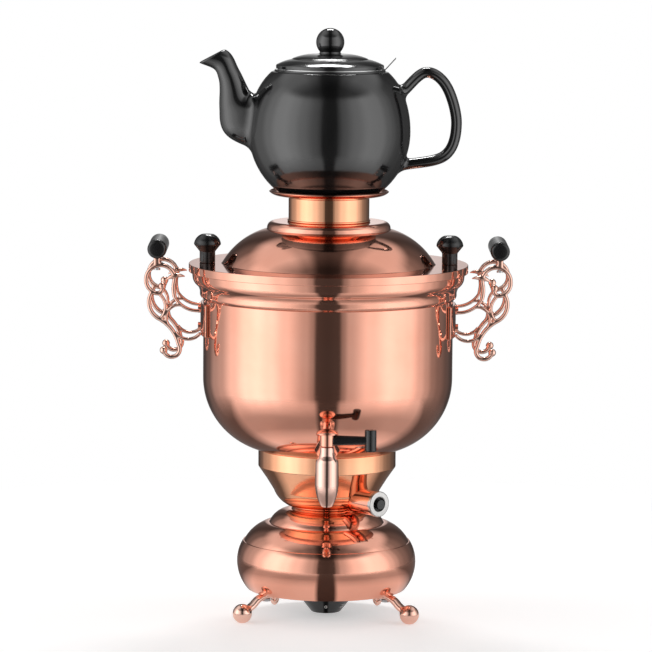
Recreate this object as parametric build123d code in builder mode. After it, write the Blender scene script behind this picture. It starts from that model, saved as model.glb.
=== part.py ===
from build123d import *
import math
import os

# Electric table samovar with a porcelain teapot standing on its chimney.
# Millimetres. The table is Z = 0 and the body's axis is the Z axis. The tap points
# to -Y, the teapot's spout to -X and its handle to +X.

# ------------------------------------------------------------------ driving sizes
sheet = 1.2  # metal sheet of base, neck, bowl, lid, collar and pot plate
seat_gap = 0.3  # clearance of a piece that is set loosely in its seat
running_gap = 0.05  # radial clearance of a shaft that turns or slides in its bore

# base
base_lift = 23.5  # table to the base's bottom edge
base_height = 68.5
base_rim_radius = 66.5
base_radius = 74.3
base_ridge_height = 23.0
base_crease_height = 40.0
base_crease_radius = 70.0
base_crease_step = 1.0
base_dome_radius = 42.0
base_dome_drop = 5.8
base_dome_bulge = 4.4
base_lip_width = 12.0
base_bead = 0.9

# neck
waist_radius = 27.0
waist_hole_radius = 13.0
neck_height = 47.5
neck_bulb_radius = 44.5
neck_bulb_height = 15.0
neck_bulb_bulge = 3.0
neck_flare_bulge = 0.3
collar_radius = 57.6
collar_height = 12.5

# bowl
bowl_radius = 104.2
bowl_bottom_radius = 62.0
bowl_shoulder_height = 128.5
bowl_height = 156.3
flange_radius = 114.5
# shoulder mouldings: share of the flare, share of the rise from shoulder to rim
bowl_mouldings = ((0.28, 0.16), (0.62, 0.43), (0.88, 0.62))
moulding_bulge = 1.0
heater_land = 5.6  # width of the gasket's seat round the heater opening

# lid
lid_edge_gap = 0.8
lid_edge_height = 6.6
lid_skirt_radius = 110.5
lid_skirt_depth = 6.0
lid_dome_radius = 89.0
lid_dome_height = 29.0
lid_dome_bulge = 4.8
lid_step_radius = 51.5
lid_step_height = 6.5
lid_step_round = 5.5
chimney_radius = 33.65
chimney_height = 21.5
chimney_bead = 0.9

# black lid knobs
knob_x = 101.0
knob_height = 24.0
knob_head_radius = 11.3
knob_head_drop = 8.5
knob_neck_height = 9.5
knob_neck_radius = 6.5
knob_top_radius = 4.6
knob_bulge = 1.6
knob_screw_radius = 2.0

# pot plate
plate_radius = 50.0
plate_flat_radius = 42.5
plate_rise = 3.4
plate_hole_radius = 16.0

# teapot
pot_wall = 4.0
pot_foot_radius = 40.5
pot_foot_recess = 2.0
pot_radius = 67.2
pot_belly_height = 52.5
pot_lower_bulge = 7.2
pot_shoulder_radius = 62.0
pot_shoulder_height = 81.5
pot_mouth_edge_radius = 48.5
pot_height = 101.5
pot_lip_radius = 46.0
pot_lip_height = 2.0
pot_mouth_radius = 41.0

# teapot lid
pot_lid_radius = 44.8
pot_lid_height = 12.0
pot_lid_edge = 3.2
pot_lid_bulge = 2.2
pot_lid_skirt_depth = 5.0
pot_knob_radius = 11.7
pot_knob_neck_radius = 9.5
pot_knob_centre_height = 21.8

# strainer
strainer_sheet = 0.8
strainer_radius = 35.0
strainer_bottom_radius = 31.0
strainer_depth = 62.0
strainer_flange_radius = 43.5
strainer_slots = 12
strainer_slot_width = 3.0
strainer_slot_height = 36.0
strainer_tab_reach = 54.5
strainer_tab_width = 9.0
strainer_tab_rise = 9.3

# teapot spout: stations measured from the pot's axis and bottom
# (distance out, height, heading above the horizontal, half height, half width)
spout_stations = (
    (50.0, 60.0, 12.0, 26.0, 19.0),
    (71.0, 66.0, 40.0, 23.0, 16.5),
    (77.5, 76.0, 68.0, 15.2, 13.2),
    (80.0, 87.5, 82.0, 11.6, 11.3),
    (84.0, 99.0, 62.0, 9.4, 9.6),
    (90.5, 110.5, 34.0, 9.5, 8.8),
    (107.0, 115.5, 12.0, 7.5, 8.0),
)
spout_wall = 3.0
spout_mouth = (86.5, 119.5)
spout_beak = (109.3, 107.5)

# teapot handle: centre line from the upper root to the lower root
pot_handle_line = (
    (59.0, 84.0),
    (79.0, 101.5),
    (96.5, 90.5),
    (105.3, 59.0),
    (95.5, 32.5),
    (58.0, 24.0),
)
pot_handle_thickness = 9.0
pot_handle_width = 12.0

# feet
foot_count = 3
foot_ball_radius = 8.2
foot_ball_centre = 7.7  # height of the ball's centre over its flat sole
foot_ball_reach = 80.2
foot_width = 10.0
foot_strap = 5.0
foot_screw_reach = 57.5
foot_pad_length = 11.0
foot_curl_radius = 3.2

# plate, heater and clamping inside
base_plate_thickness = 1.5
heater_plate_overhang = 5.4  # heater plate past the bowl's flat bottom
heater_plate_thickness = 2.0
gasket_thickness = 1.5
heating_ring_gap = 3.0
heating_ring_width = 11.0
heating_ring_height = 8.0
cutout_gap = 1.5
cutout_height = 6.0
tie_rod_radius = 4.0
clamp_washer_radius = 26.0
clamp_washer_thickness = 3.0
nut_ratio = 0.8  # nut height over its thread's diameter
bolt_end = 5.0  # thread standing past its nut's seat

# thermostat and its dial under the base
thermostat_size = 32.0
thermostat_height = 17.0
thermostat_screw_spacing = 24.0
spindle_radius = 3.0
spindle_depth = 9.0
dial_radius = 22.6
dial_bottom_radius = 12.2
dial_clearance = 8.9  # table to the dial's face
dial_height = 12.0
dial_bore_depth = 6.5
dial_round = 1.5
dial_skirt = 2.6  # straight height of the dial's rim

# appliance inlet at the back of the base
inlet_height = 44.0  # centre of the inlet over the table
inlet_width = 30.0
inlet_tall = 22.0
inlet_depth = 24.0
inlet_proud = 2.5
inlet_round = 2.0
inlet_cavity_width = 24.2
inlet_cavity_tall = 16.4
inlet_cavity_depth = 17.0
inlet_pin_spacing = 7.0
inlet_pin_size = (2.0, 4.0, 15.0)

# side switch on the neck
switch_heading = -50.0  # degrees from +X, seen from above
switch_height = 10.5  # above the waist
switch_radius = 10.3
switch_sleeve_wall = 1.4
switch_reach = 65.0
switch_root = 30.0
bezel_thickness = 3.0
bezel_opening_radius = 5.8
bezel_flange = 0.4
bezel_round = 1.0
button_radius = 3.9
button_proud = 1.8
button_travel = 2.5
button_guide = 4.0  # length of the button inside the switch

# tap
tap_reach = 118.0
tap_pipe_height = 15.5  # pipe's axis above the bowl's bottom
tap_pipe_radius = 4.8
tap_pipe_end = 66.0  # pipe's inner end, from the samovar's axis
tap_bore_radius = 2.8
tap_neck_radius = 5.9
tap_neck_top = 21.0  # above the bowl's bottom
tap_bulge_radius = 9.6
tap_bulge_top = 6.5
tap_bulge_height = 16.0
tap_bulge_flare = 9.0
tap_bulge_cone = 11.0
tap_bulge_round = 2.5
tap_outlet_radius = 4.4
tap_outlet_taper = 3.2
tap_outlet_drop = 28.5
tap_plug_radius = 3.6
tap_plug_bore = 2.0
tap_plug_depth = 16.0
tap_hub_height = 9.5
tap_cap_radius = 8.6
tap_cap_height = 5.0
tap_cap_edge = 1.0
tap_boss_radius = 9.0
tap_boss_land = 1.5
tap_nut_across = 18.0
tap_nut_height = 5.0
lever_radius = 4.3
lever_end_radius = 3.4
lever_length = 35.0
lever_knob_radius = 4.8
lever_knob_height = 18.0
lever_round = 1.5

# side handles
handle_plate_height = 27.0
handle_plate_drop = 3.5  # bowl's shoulder down to the plate's top edge
handle_plate_thickness = 2.4
handle_plate_spread = 17.5  # degrees each way round the bowl
handle_reach = 35.3  # mounting plate to the grip's axis
handle_drop = 91.2  # grip's axis to the tail's lowest point
grip_rise = 42.5  # bowl's shoulder up to the grip's axis
grip_radius = 8.0
grip_length = 56.0
grip_round = 3.0
arm_offset = 24.0
arm_thickness = 5.0
scroll_width = 3.6
scroll_fine_width = 2.8
scroll_ball_radius = 3.3
grip_screw_radius = 1.5
grip_screw_head_radius = 2.7
grip_screw_length = 14.0
handle_screw_radius = 2.0
screw_head_radius = 3.6
handle_screw_pitch = 15.0

# -------------------------------------------------------------- levels and radii
base_z = base_lift
waist_z = base_z + base_height
bowl_z = waist_z + neck_height
rim_z = bowl_z + bowl_height
lid_z = rim_z + sheet
lid_top_z = lid_z + lid_dome_height + lid_step_height
plate_z = lid_top_z + chimney_height
pot_z = plate_z + sheet
pot_top_z = pot_z + pot_height
ledge_z = pot_top_z + pot_lip_height
pot_lid_z = ledge_z + strainer_sheet
lid_edge_radius = flange_radius + lid_edge_gap
lid_radius = lid_edge_radius + sheet
flat_radius = bowl_radius - bowl_bottom_radius
heater_opening_radius = flat_radius - heater_land
heater_plate_radius = flat_radius + heater_plate_overhang
heating_ring_outer = heater_opening_radius - heating_ring_gap
heating_ring_inner = heating_ring_outer - heating_ring_width
cutout_radius = (heating_ring_inner - tie_rod_radius) / 2 - cutout_gap
handle_plate_bottom = bowl_shoulder_height - handle_plate_drop - handle_plate_height
grip_height = bowl_shoulder_height + grip_rise


# ------------------------------------------------------------------------ base
def base_outline(inset):
    """Half section of the base, every point moved inwards by inset."""
    rim = (base_rim_radius - inset, base_z + inset)
    ridge = (base_radius - inset, base_z + base_ridge_height)
    crease = (base_crease_radius - inset, base_z + base_crease_height - inset)
    dome_foot = (crease[0] - base_crease_step, crease[1])
    dome_top = (base_dome_radius - inset, waist_z - base_dome_drop - inset)
    waist = (waist_radius + sheet - inset, waist_z - inset)
    TangentArc(ridge, rim, tangent=(0, -1))
    TangentArc(ridge, crease, tangent=(0, 1))
    Line(crease, dome_foot)
    SagittaArc(dome_foot, dome_top, -base_dome_bulge)
    Line(dome_top, waist)
    Polyline(waist, (0, waist[1]), (0, rim[1]), rim)


inlet_y = base_radius + inlet_proud - inlet_depth / 2
foot_screw_spots = PolarLocations(foot_screw_reach, foot_count, start_angle=90)

with BuildPart() as base_shell:
    with BuildSketch(Plane.XZ):
        with BuildLine():
            base_outline(0)
        make_face()
        with Locations((base_radius, base_z + base_ridge_height)):
            Circle(base_bead)
    revolve(axis=Axis.Z)
    with BuildSketch(Plane.XZ):
        with BuildLine():
            base_outline(sheet)
        make_face()
    revolve(axis=Axis.Z, mode=Mode.SUBTRACT)
    with Locations((0, 0, base_z)):
        Cylinder(base_rim_radius - base_lip_width, base_height / 2, mode=Mode.SUBTRACT)
    with Locations((0, 0, waist_z)):
        Cylinder(waist_hole_radius, sheet * 4, mode=Mode.SUBTRACT)
    with foot_screw_spots:
        with Locations((0, 0, base_z)):
            Cylinder(handle_screw_radius + seat_gap, sheet * 4, mode=Mode.SUBTRACT)
    with Locations((0, inlet_y, inlet_height)):
        Box(inlet_width + 2 * seat_gap, inlet_depth, inlet_tall + 2 * seat_gap, mode=Mode.SUBTRACT)
base_shell.part.label = "base_shell"

base_plate_z = base_z + sheet
base_plate_top = base_plate_z + base_plate_thickness
thermostat_screw_spots = GridLocations(thermostat_screw_spacing, 0, 2, 1)

with BuildPart() as base_plate:
    with BuildSketch(Plane.XY.offset(base_plate_z)):
        Circle(base_rim_radius - sheet - seat_gap)
        Circle(spindle_radius + seat_gap, mode=Mode.SUBTRACT)
        with foot_screw_spots:
            Circle(handle_screw_radius + seat_gap, mode=Mode.SUBTRACT)
        with thermostat_screw_spots:
            Circle(handle_screw_radius + seat_gap, mode=Mode.SUBTRACT)
    extrude(amount=base_plate_thickness)
base_plate.part.label = "base_plate"

# ------------------------------------------------------------------------ feet
ball_top = (foot_ball_reach - foot_ball_radius / 2, foot_ball_centre + foot_ball_radius / 2)
strap_z = base_z - foot_strap / 2
curl_centre = (foot_screw_reach - foot_pad_length / 2, strap_z - foot_curl_radius)
strap_bend = ((ball_top[0] + foot_screw_reach) / 2, (ball_top[1] + strap_z) / 2)

with BuildPart() as feet:
    with BuildSketch(Plane.XZ):
        with BuildLine():
            lower = SagittaArc(ball_top, strap_bend, foot_strap / 4)
            TangentArc(lower @ 1, (foot_screw_reach, strap_z), tangent=lower % 1)
            Line((foot_screw_reach, strap_z), (curl_centre[0], strap_z))
            CenterArc(curl_centre, foot_curl_radius, 90, 170)
        trace(line_width=foot_strap)
        with Locations((foot_screw_reach, strap_z)):
            Rectangle(foot_pad_length, foot_strap)
    extrude(amount=foot_width / 2, both=True)
    with Locations((foot_ball_reach, 0, foot_ball_centre)):
        Sphere(foot_ball_radius)
    with Locations((foot_screw_reach, 0, strap_z)):
        Cylinder(handle_screw_radius + seat_gap, foot_strap * 2, mode=Mode.SUBTRACT)
    with Locations((foot_screw_reach, 0, strap_z - foot_strap / 2)):
        Cylinder(
            screw_head_radius + seat_gap,
            foot_strap * 2,
            align=(Align.CENTER, Align.CENTER, Align.MAX),
            mode=Mode.SUBTRACT,
        )
    split(bisect_by=Plane.XY, keep=Keep.TOP)
foot = feet.part

with BuildPart() as feet:
    with PolarLocations(0, foot_count, start_angle=90):
        add(foot)
feet.part.label = "feet"

with BuildPart() as foot_screws:
    with foot_screw_spots:
        with Locations((0, 0, strap_z - foot_strap / 2)):
            Cylinder(
                handle_screw_radius,
                foot_strap + sheet + base_plate_thickness + bolt_end,
                align=(Align.CENTER, Align.CENTER, Align.MIN),
            )
            Cylinder(
                screw_head_radius,
                handle_screw_radius,
                align=(Align.CENTER, Align.CENTER, Align.MAX),
            )
foot_screws.part.label = "foot_screws"

with BuildPart() as foot_nuts:
    with BuildSketch(Plane.XY.offset(base_plate_top)):
        with foot_screw_spots:
            RegularPolygon(handle_screw_radius * 2, 6)
            Circle(handle_screw_radius, mode=Mode.SUBTRACT)
    extrude(amount=2 * handle_screw_radius * nut_ratio)
foot_nuts.part.label = "foot_nuts"


# ------------------------------------------------------------------------ bowl
def bowl_outline(inset, top):
    """Half section of the bowl up to the height top: bottom curve, wall and moulded shoulder."""
    wall = bowl_radius - inset
    flare = flange_radius - bowl_radius
    rise = rim_z - shoulder_z
    start = (0, bowl_z + inset)
    corner = (flat_radius, bowl_z + inset)
    step, cove, bead = [(wall + out * flare, shoulder_z + up * rise) for out, up in bowl_mouldings]
    mouth = (wall + flare, top)
    Line(start, corner)
    CenterArc((corner[0], bowl_z + bowl_bottom_radius), bowl_bottom_radius - inset, -90, 90)
    Line((wall, bowl_z + bowl_bottom_radius), (wall, shoulder_z))
    SagittaArc((wall, shoulder_z), step, -moulding_bulge)
    SagittaArc(step, cove, moulding_bulge)
    SagittaArc(cove, bead, -moulding_bulge / 2)
    Line(bead, mouth)
    Polyline(mouth, (0, top), start)


shoulder_z = bowl_z + bowl_shoulder_height
handle_screw_z = bowl_z + handle_plate_bottom + handle_plate_height / 2
tap_z = bowl_z + tap_pipe_height

with BuildPart() as bowl_outside:
    with BuildSketch(Plane.XZ):
        with BuildLine():
            bowl_outline(0, rim_z)
        make_face()
    revolve(axis=Axis.Z)

with BuildPart() as bowl_inside:
    with BuildSketch(Plane.XZ):
        with BuildLine():
            bowl_outline(sheet, rim_z + sheet)
        make_face()
    revolve(axis=Axis.Z)

with BuildPart() as bowl:
    add(bowl_outside.part)
    add(bowl_inside.part, mode=Mode.SUBTRACT)
    with Locations((0, 0, bowl_z)):
        Cylinder(heater_opening_radius, sheet * 4, mode=Mode.SUBTRACT)
    with Locations((0, -bowl_radius / 2, tap_z)):
        Cylinder(tap_pipe_radius, bowl_radius, rotation=(90, 0, 0), mode=Mode.SUBTRACT)
    with BuildSketch(Plane.YZ):
        with Locations((0, handle_screw_z)):
            with GridLocations(0, handle_screw_pitch, 1, 2):
                Circle(handle_screw_radius)
    extrude(amount=bowl_radius * 2, both=True, mode=Mode.SUBTRACT)
bowl.part.label = "bowl"


# ------------------------------------------------------------------------ neck
def neck_outline(inset):
    """Half section of the neck: waist, bulb, flare and the collar under the bowl."""
    waist = (waist_radius - inset, waist_z + inset)
    bulb = (neck_bulb_radius - inset, waist_z + neck_bulb_height)
    collar = (collar_radius - inset, bowl_z - collar_height)
    top = (collar[0], bowl_z + bowl_bottom_radius / 4)
    SagittaArc(waist, bulb, -neck_bulb_bulge)
    SagittaArc(bulb, collar, neck_flare_bulge)
    Line(collar, top)
    Polyline(top, (0, top[1]), (0, waist[1]), waist)


switch_z = waist_z + switch_height
switch_axis = Plane(origin=(0, 0, switch_z), z_dir=Vector(1, 0, 0).rotate(Axis.Z, switch_heading))
switch_line = Axis(switch_axis.origin, switch_axis.z_dir)

with BuildPart() as neck_outside:
    with BuildSketch(Plane.XZ):
        with BuildLine():
            neck_outline(0)
        make_face()
    revolve(axis=Axis.Z)

with BuildPart() as neck:
    add(neck_outside.part)
    with BuildSketch(Plane.XZ):
        with BuildLine():
            neck_outline(sheet)
        make_face()
    revolve(axis=Axis.Z, mode=Mode.SUBTRACT)
    add(bowl_outside.part, mode=Mode.SUBTRACT)
    with Locations((0, 0, waist_z)):
        Cylinder(waist_hole_radius, sheet * 4, mode=Mode.SUBTRACT)
    with BuildSketch(switch_axis):
        Circle(switch_radius - switch_sleeve_wall)
    extrude(amount=switch_reach, mode=Mode.SUBTRACT)
neck.part.label = "neck"

# ---------------------------------------------------------- heater and clamping
gasket_z = bowl_z + sheet
heater_z = gasket_z + gasket_thickness
ring_z = heater_z - heating_ring_height
washer_top = waist_z - sheet
washer_z = washer_top - clamp_washer_thickness
tie_nut_height = 2 * tie_rod_radius * nut_ratio

with BuildPart() as heater_gasket:
    with BuildSketch(Plane.XY.offset(gasket_z)):
        Circle(flat_radius - seat_gap)
        Circle(heater_opening_radius, mode=Mode.SUBTRACT)
    extrude(amount=gasket_thickness)
heater_gasket.part.label = "heater_gasket"

with BuildPart() as heater_plate:
    with BuildSketch(Plane.XY.offset(heater_z)):
        Circle(heater_plate_radius)
    extrude(amount=heater_plate_thickness)
    fillet(heater_plate.faces().sort_by(Axis.Z)[-1].edges(), heater_plate_thickness / 2)
heater_plate.part.label = "heater_plate"

with BuildPart() as heating_ring:
    with BuildSketch(Plane.XY.offset(ring_z)):
        Circle(heating_ring_outer)
        Circle(heating_ring_inner, mode=Mode.SUBTRACT)
    extrude(amount=heating_ring_height)
    fillet(heating_ring.faces().sort_by(Axis.Z)[0].edges(), heating_ring_height / 4)
heating_ring.part.label = "heating_ring"

with BuildPart() as thermal_cutout:
    with Locations(((heating_ring_inner + tie_rod_radius) / 2, 0, heater_z)):
        Cylinder(cutout_radius, cutout_height, align=(Align.CENTER, Align.CENTER, Align.MAX))
thermal_cutout.part.label = "thermal_cutout"

with BuildPart() as tie_rod:
    with Locations((0, 0, washer_z - tie_nut_height - bolt_end / 2)):
        Cylinder(
            tie_rod_radius,
            heater_z - washer_z + tie_nut_height + bolt_end / 2,
            align=(Align.CENTER, Align.CENTER, Align.MIN),
        )
tie_rod.part.label = "tie_rod"

with BuildPart() as clamp_washer:
    with BuildSketch(Plane.XY.offset(washer_z)):
        Circle(clamp_washer_radius)
        Circle(tie_rod_radius + seat_gap, mode=Mode.SUBTRACT)
    extrude(amount=clamp_washer_thickness)
clamp_washer.part.label = "clamp_washer"

with BuildPart() as tie_nut:
    with BuildSketch(Plane.XY.offset(washer_z)):
        RegularPolygon(tie_rod_radius * 2, 6)
        Circle(tie_rod_radius, mode=Mode.SUBTRACT)
    extrude(amount=-tie_nut_height)
tie_nut.part.label = "tie_nut"

# ----------------------------------------------------------- thermostat and dial
dial_top_z = dial_clearance + dial_height
spindle_top = base_plate_top + spindle_depth

with BuildPart() as thermostat:
    with BuildSketch(Plane.XY.offset(base_plate_top)):
        RectangleRounded(thermostat_size, thermostat_size, thermostat_size / 8)
    extrude(amount=thermostat_height)
    with Locations((0, 0, base_plate_top)):
        Cylinder(
            spindle_radius + running_gap,
            spindle_depth + seat_gap,
            align=(Align.CENTER, Align.CENTER, Align.MIN),
            mode=Mode.SUBTRACT,
        )
    with thermostat_screw_spots:
        with Locations((0, 0, base_plate_top)):
            Cylinder(
                handle_screw_radius,
                thermostat_height / 2,
                align=(Align.CENTER, Align.CENTER, Align.MIN),
                mode=Mode.SUBTRACT,
            )
thermostat.part.label = "thermostat"

with BuildPart() as thermostat_screws:
    with thermostat_screw_spots:
        with Locations((0, 0, base_plate_z)):
            Cylinder(
                handle_screw_radius,
                base_plate_thickness + thermostat_height / 2,
                align=(Align.CENTER, Align.CENTER, Align.MIN),
            )
            Cylinder(
                screw_head_radius,
                handle_screw_radius,
                align=(Align.CENTER, Align.CENTER, Align.MAX),
            )
thermostat_screws.part.label = "thermostat_screws"

with BuildPart() as dial_spindle:
    with Locations((0, 0, dial_top_z - dial_bore_depth)):
        Cylinder(
            spindle_radius,
            spindle_top - dial_top_z + dial_bore_depth,
            align=(Align.CENTER, Align.CENTER, Align.MIN),
        )
dial_spindle.part.label = "dial_spindle"

with BuildPart() as dial:
    with BuildSketch(Plane.XZ):
        with BuildLine():
            Polyline(
                (0, dial_clearance),
                (dial_bottom_radius, dial_clearance),
                (dial_radius, dial_top_z - dial_skirt),
                (dial_radius, dial_top_z),
                (0, dial_top_z),
                close=True,
            )
        make_face()
    revolve(axis=Axis.Z)
    with Locations((0, 0, dial_top_z)):
        Cylinder(
            spindle_radius,
            dial_bore_depth,
            align=(Align.CENTER, Align.CENTER, Align.MAX),
            mode=Mode.SUBTRACT,
        )
    fillet(dial.faces().sort_by(Axis.Z)[0].edges(), dial_round)
dial.part.label = "dial"

# --------------------------------------------------------------- appliance inlet
inlet_face_y = base_radius + inlet_proud

with BuildPart() as inlet_housing:
    with Locations((0, inlet_y, inlet_height)):
        Box(inlet_width, inlet_depth, inlet_tall)
    fillet(inlet_housing.edges().filter_by(Axis.Y), inlet_round)
    with Locations((0, inlet_face_y, inlet_height)):
        Box(
            inlet_cavity_width,
            inlet_cavity_depth,
            inlet_cavity_tall,
            align=(Align.CENTER, Align.MAX, Align.CENTER),
            mode=Mode.SUBTRACT,
        )
inlet_housing.part.label = "inlet_housing"

with BuildPart() as inlet_pins:
    with Locations((0, inlet_face_y - inlet_cavity_depth, inlet_height)):
        with Locations(
            (-inlet_pin_spacing, 0, -inlet_pin_size[1] / 2),
            (0, 0, inlet_pin_size[1] / 2),
            (inlet_pin_spacing, 0, -inlet_pin_size[1] / 2),
        ):
            Box(
                inlet_pin_size[0],
                inlet_pin_size[2],
                inlet_pin_size[1],
                align=(Align.CENTER, Align.MIN, Align.CENTER),
            )
inlet_pins.part.label = "inlet_pins"

# ------------------------------------------------------------------- side switch
with BuildPart() as switch_sleeve:
    with BuildSketch(switch_axis.offset(switch_root)):
        Circle(switch_radius)
        Circle(switch_radius - switch_sleeve_wall, mode=Mode.SUBTRACT)
    extrude(amount=switch_reach - switch_root)
    add(neck_outside.part, mode=Mode.SUBTRACT)
switch_sleeve.part.label = "switch_sleeve"

with BuildPart() as switch_body:
    with BuildSketch(switch_axis.offset(switch_root)):
        Circle(switch_radius - switch_sleeve_wall)
    extrude(amount=switch_reach - switch_root)
    with BuildSketch(switch_axis.offset(switch_reach)):
        Circle(button_radius + running_gap)
    extrude(amount=-button_guide - button_travel - seat_gap, mode=Mode.SUBTRACT)
switch_body.part.label = "switch_body"

with BuildPart() as switch_bezel:
    with BuildSketch(switch_axis.offset(switch_reach)):
        Circle(switch_radius + bezel_flange)
        Circle(bezel_opening_radius, mode=Mode.SUBTRACT)
    extrude(amount=bezel_thickness)
    fillet(switch_bezel.faces().sort_by(switch_line)[-1].edges(), bezel_round)
switch_bezel.part.label = "switch_bezel"

with BuildPart() as switch_button:
    with BuildSketch(switch_axis.offset(switch_reach + bezel_thickness + button_proud)):
        Circle(button_radius)
    extrude(amount=-button_proud - bezel_thickness - button_guide)
switch_button.part.label = "switch_button"

# --------------------------------------------------------------------------- tap
tap_spot = Locations((0, -tap_reach, 0))
neck_top = bowl_z + tap_neck_top
bulge_top = bowl_z + tap_bulge_top
bulge_z = bulge_top - tap_bulge_height
outlet_z = bowl_z - tap_outlet_drop
hub_z = neck_top + seat_gap
cap_z = hub_z + tap_hub_height
plug_z = neck_top - tap_plug_depth

with BuildPart() as valve_body:
    with BuildSketch(Plane.XZ):
        with BuildLine():
            spout = Line(
                (tap_outlet_radius, outlet_z),
                (tap_outlet_radius + tap_outlet_taper, bulge_z - tap_bulge_cone),
            )
            Line(spout @ 1, (tap_bulge_radius, bulge_z))
            Line((tap_bulge_radius, bulge_z), (tap_bulge_radius, bulge_top))
            Line((tap_bulge_radius, bulge_top), (tap_neck_radius, bulge_top + tap_bulge_flare))
            Polyline(
                (tap_neck_radius, bulge_top + tap_bulge_flare),
                (tap_neck_radius, neck_top),
                (0, neck_top),
                (0, outlet_z),
                spout @ 0,
            )
        make_face()
    revolve(axis=Axis.Z)
    fillet(valve_body.edges().filter_by(GeomType.CIRCLE).group_by(SortBy.RADIUS)[-1], tap_bulge_round)

with BuildPart() as tap_body:
    with tap_spot:
        add(valve_body.part)
    with BuildSketch(Plane.XZ.offset(tap_reach)):
        with Locations((0, tap_z)):
            Circle(tap_pipe_radius)
    extrude(amount=tap_pipe_end - tap_reach)
    with Locations((0, -tap_reach, neck_top)):
        Cylinder(
            tap_plug_radius + running_gap,
            tap_plug_depth + seat_gap,
            align=(Align.CENTER, Align.CENTER, Align.MAX),
            mode=Mode.SUBTRACT,
        )
        Cylinder(
            tap_bore_radius,
            neck_top - outlet_z,
            align=(Align.CENTER, Align.CENTER, Align.MAX),
            mode=Mode.SUBTRACT,
        )
    with BuildSketch(Plane.XZ.offset(tap_reach)):
        with Locations((0, tap_z)):
            Circle(tap_bore_radius)
    extrude(amount=-tap_reach, mode=Mode.SUBTRACT)
tap_body.part.label = "tap_body"

boss_rise = bowl_bottom_radius - tap_pipe_height - tap_boss_radius
boss_face = (
    bowl_radius - bowl_bottom_radius + math.sqrt(bowl_bottom_radius**2 - boss_rise**2) + tap_boss_land
)

with BuildPart() as tap_boss:
    with BuildSketch(Plane.XZ):
        with Locations((0, tap_z)):
            Circle(tap_boss_radius)
            Circle(tap_pipe_radius, mode=Mode.SUBTRACT)
    extrude(amount=boss_face)
    add(bowl_outside.part, mode=Mode.SUBTRACT)
tap_boss.part.label = "tap_boss"

with BuildPart() as tap_gasket:
    with BuildSketch(Plane.XZ.offset(boss_face)):
        with Locations((0, tap_z)):
            Circle(tap_boss_radius)
            Circle(tap_pipe_radius, mode=Mode.SUBTRACT)
    extrude(amount=gasket_thickness)
tap_gasket.part.label = "tap_gasket"

with BuildPart() as tap_nut:
    with BuildSketch(Plane.XZ.offset(boss_face + gasket_thickness)):
        with Locations((0, tap_z)):
            RegularPolygon(tap_nut_across / 2, 6, major_radius=False)
            Circle(tap_pipe_radius, mode=Mode.SUBTRACT)
    extrude(amount=tap_nut_height)
tap_nut.part.label = "tap_nut"

with BuildPart() as tap_plug:
    with Locations((0, -tap_reach, plug_z)):
        Cylinder(
            tap_plug_radius,
            tap_plug_depth + seat_gap,
            align=(Align.CENTER, Align.CENTER, Align.MIN),
        )
    with Locations((0, -tap_reach, hub_z)):
        Cylinder(tap_neck_radius, tap_hub_height, align=(Align.CENTER, Align.CENTER, Align.MIN))
    with Locations((0, -tap_reach, plug_z)):
        Cylinder(
            tap_plug_bore,
            tap_z - plug_z + tap_plug_bore,
            align=(Align.CENTER, Align.CENTER, Align.MIN),
            mode=Mode.SUBTRACT,
        )
    with Locations((0, -tap_reach, tap_z)):
        Cylinder(
            tap_plug_bore,
            tap_plug_radius * 2,
            rotation=(0, 90, 0),
            align=(Align.CENTER, Align.CENTER, Align.MAX),
            mode=Mode.SUBTRACT,
        )
tap_plug.part.label = "tap_plug"

with BuildPart() as cap:
    with BuildSketch(Plane.XZ):
        with BuildLine():
            crown = TangentArc(
                (0, cap_z + tap_cap_height),
                (tap_cap_radius, cap_z + tap_cap_edge),
                tangent=(1, 0),
            )
            Polyline(crown @ 1, (tap_cap_radius, cap_z), (0, cap_z), crown @ 0)
        make_face()
    revolve(axis=Axis.Z)

with BuildPart() as tap_cap:
    with tap_spot:
        add(cap.part)
tap_cap.part.label = "tap_cap"

lever_z = hub_z + tap_hub_height / 2

with BuildPart() as tap_lever:
    with BuildSketch(Plane(origin=(0, -tap_reach, lever_z), z_dir=(1, 0, 0))):
        Circle(lever_radius)
    with BuildSketch(Plane(origin=(lever_length, -tap_reach, lever_z), z_dir=(1, 0, 0))):
        Circle(lever_end_radius)
    loft()
    with Locations((lever_length, -tap_reach, lever_z)):
        Cylinder(lever_knob_radius, lever_knob_height)
    fillet(tap_lever.edges().filter_by(GeomType.CIRCLE).group_by(Axis.X)[-1], lever_round)
    with Locations((0, -tap_reach, lever_z)):
        Cylinder(tap_neck_radius, tap_hub_height, mode=Mode.SUBTRACT)
tap_lever.part.label = "tap_lever"

# ------------------------------------------------------------------ side handles
plate_face = bowl_radius + handle_plate_thickness
grip_x = plate_face + handle_reach
grip_z = bowl_z + grip_height
handle_bolt_length = handle_plate_thickness + sheet + bolt_end
handle_nut_face = math.sqrt((bowl_radius - sheet) ** 2 - (2 * handle_screw_radius) ** 2)


def scroll(across, below):
    """A point of the scrollwork: across in reaches of the handle, below in drops of its tail."""
    return (plate_face + across * handle_reach, grip_z - below * handle_drop)


ring_bottom_z = scroll(0, 0.155)[1] - scroll_width / 2

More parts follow.
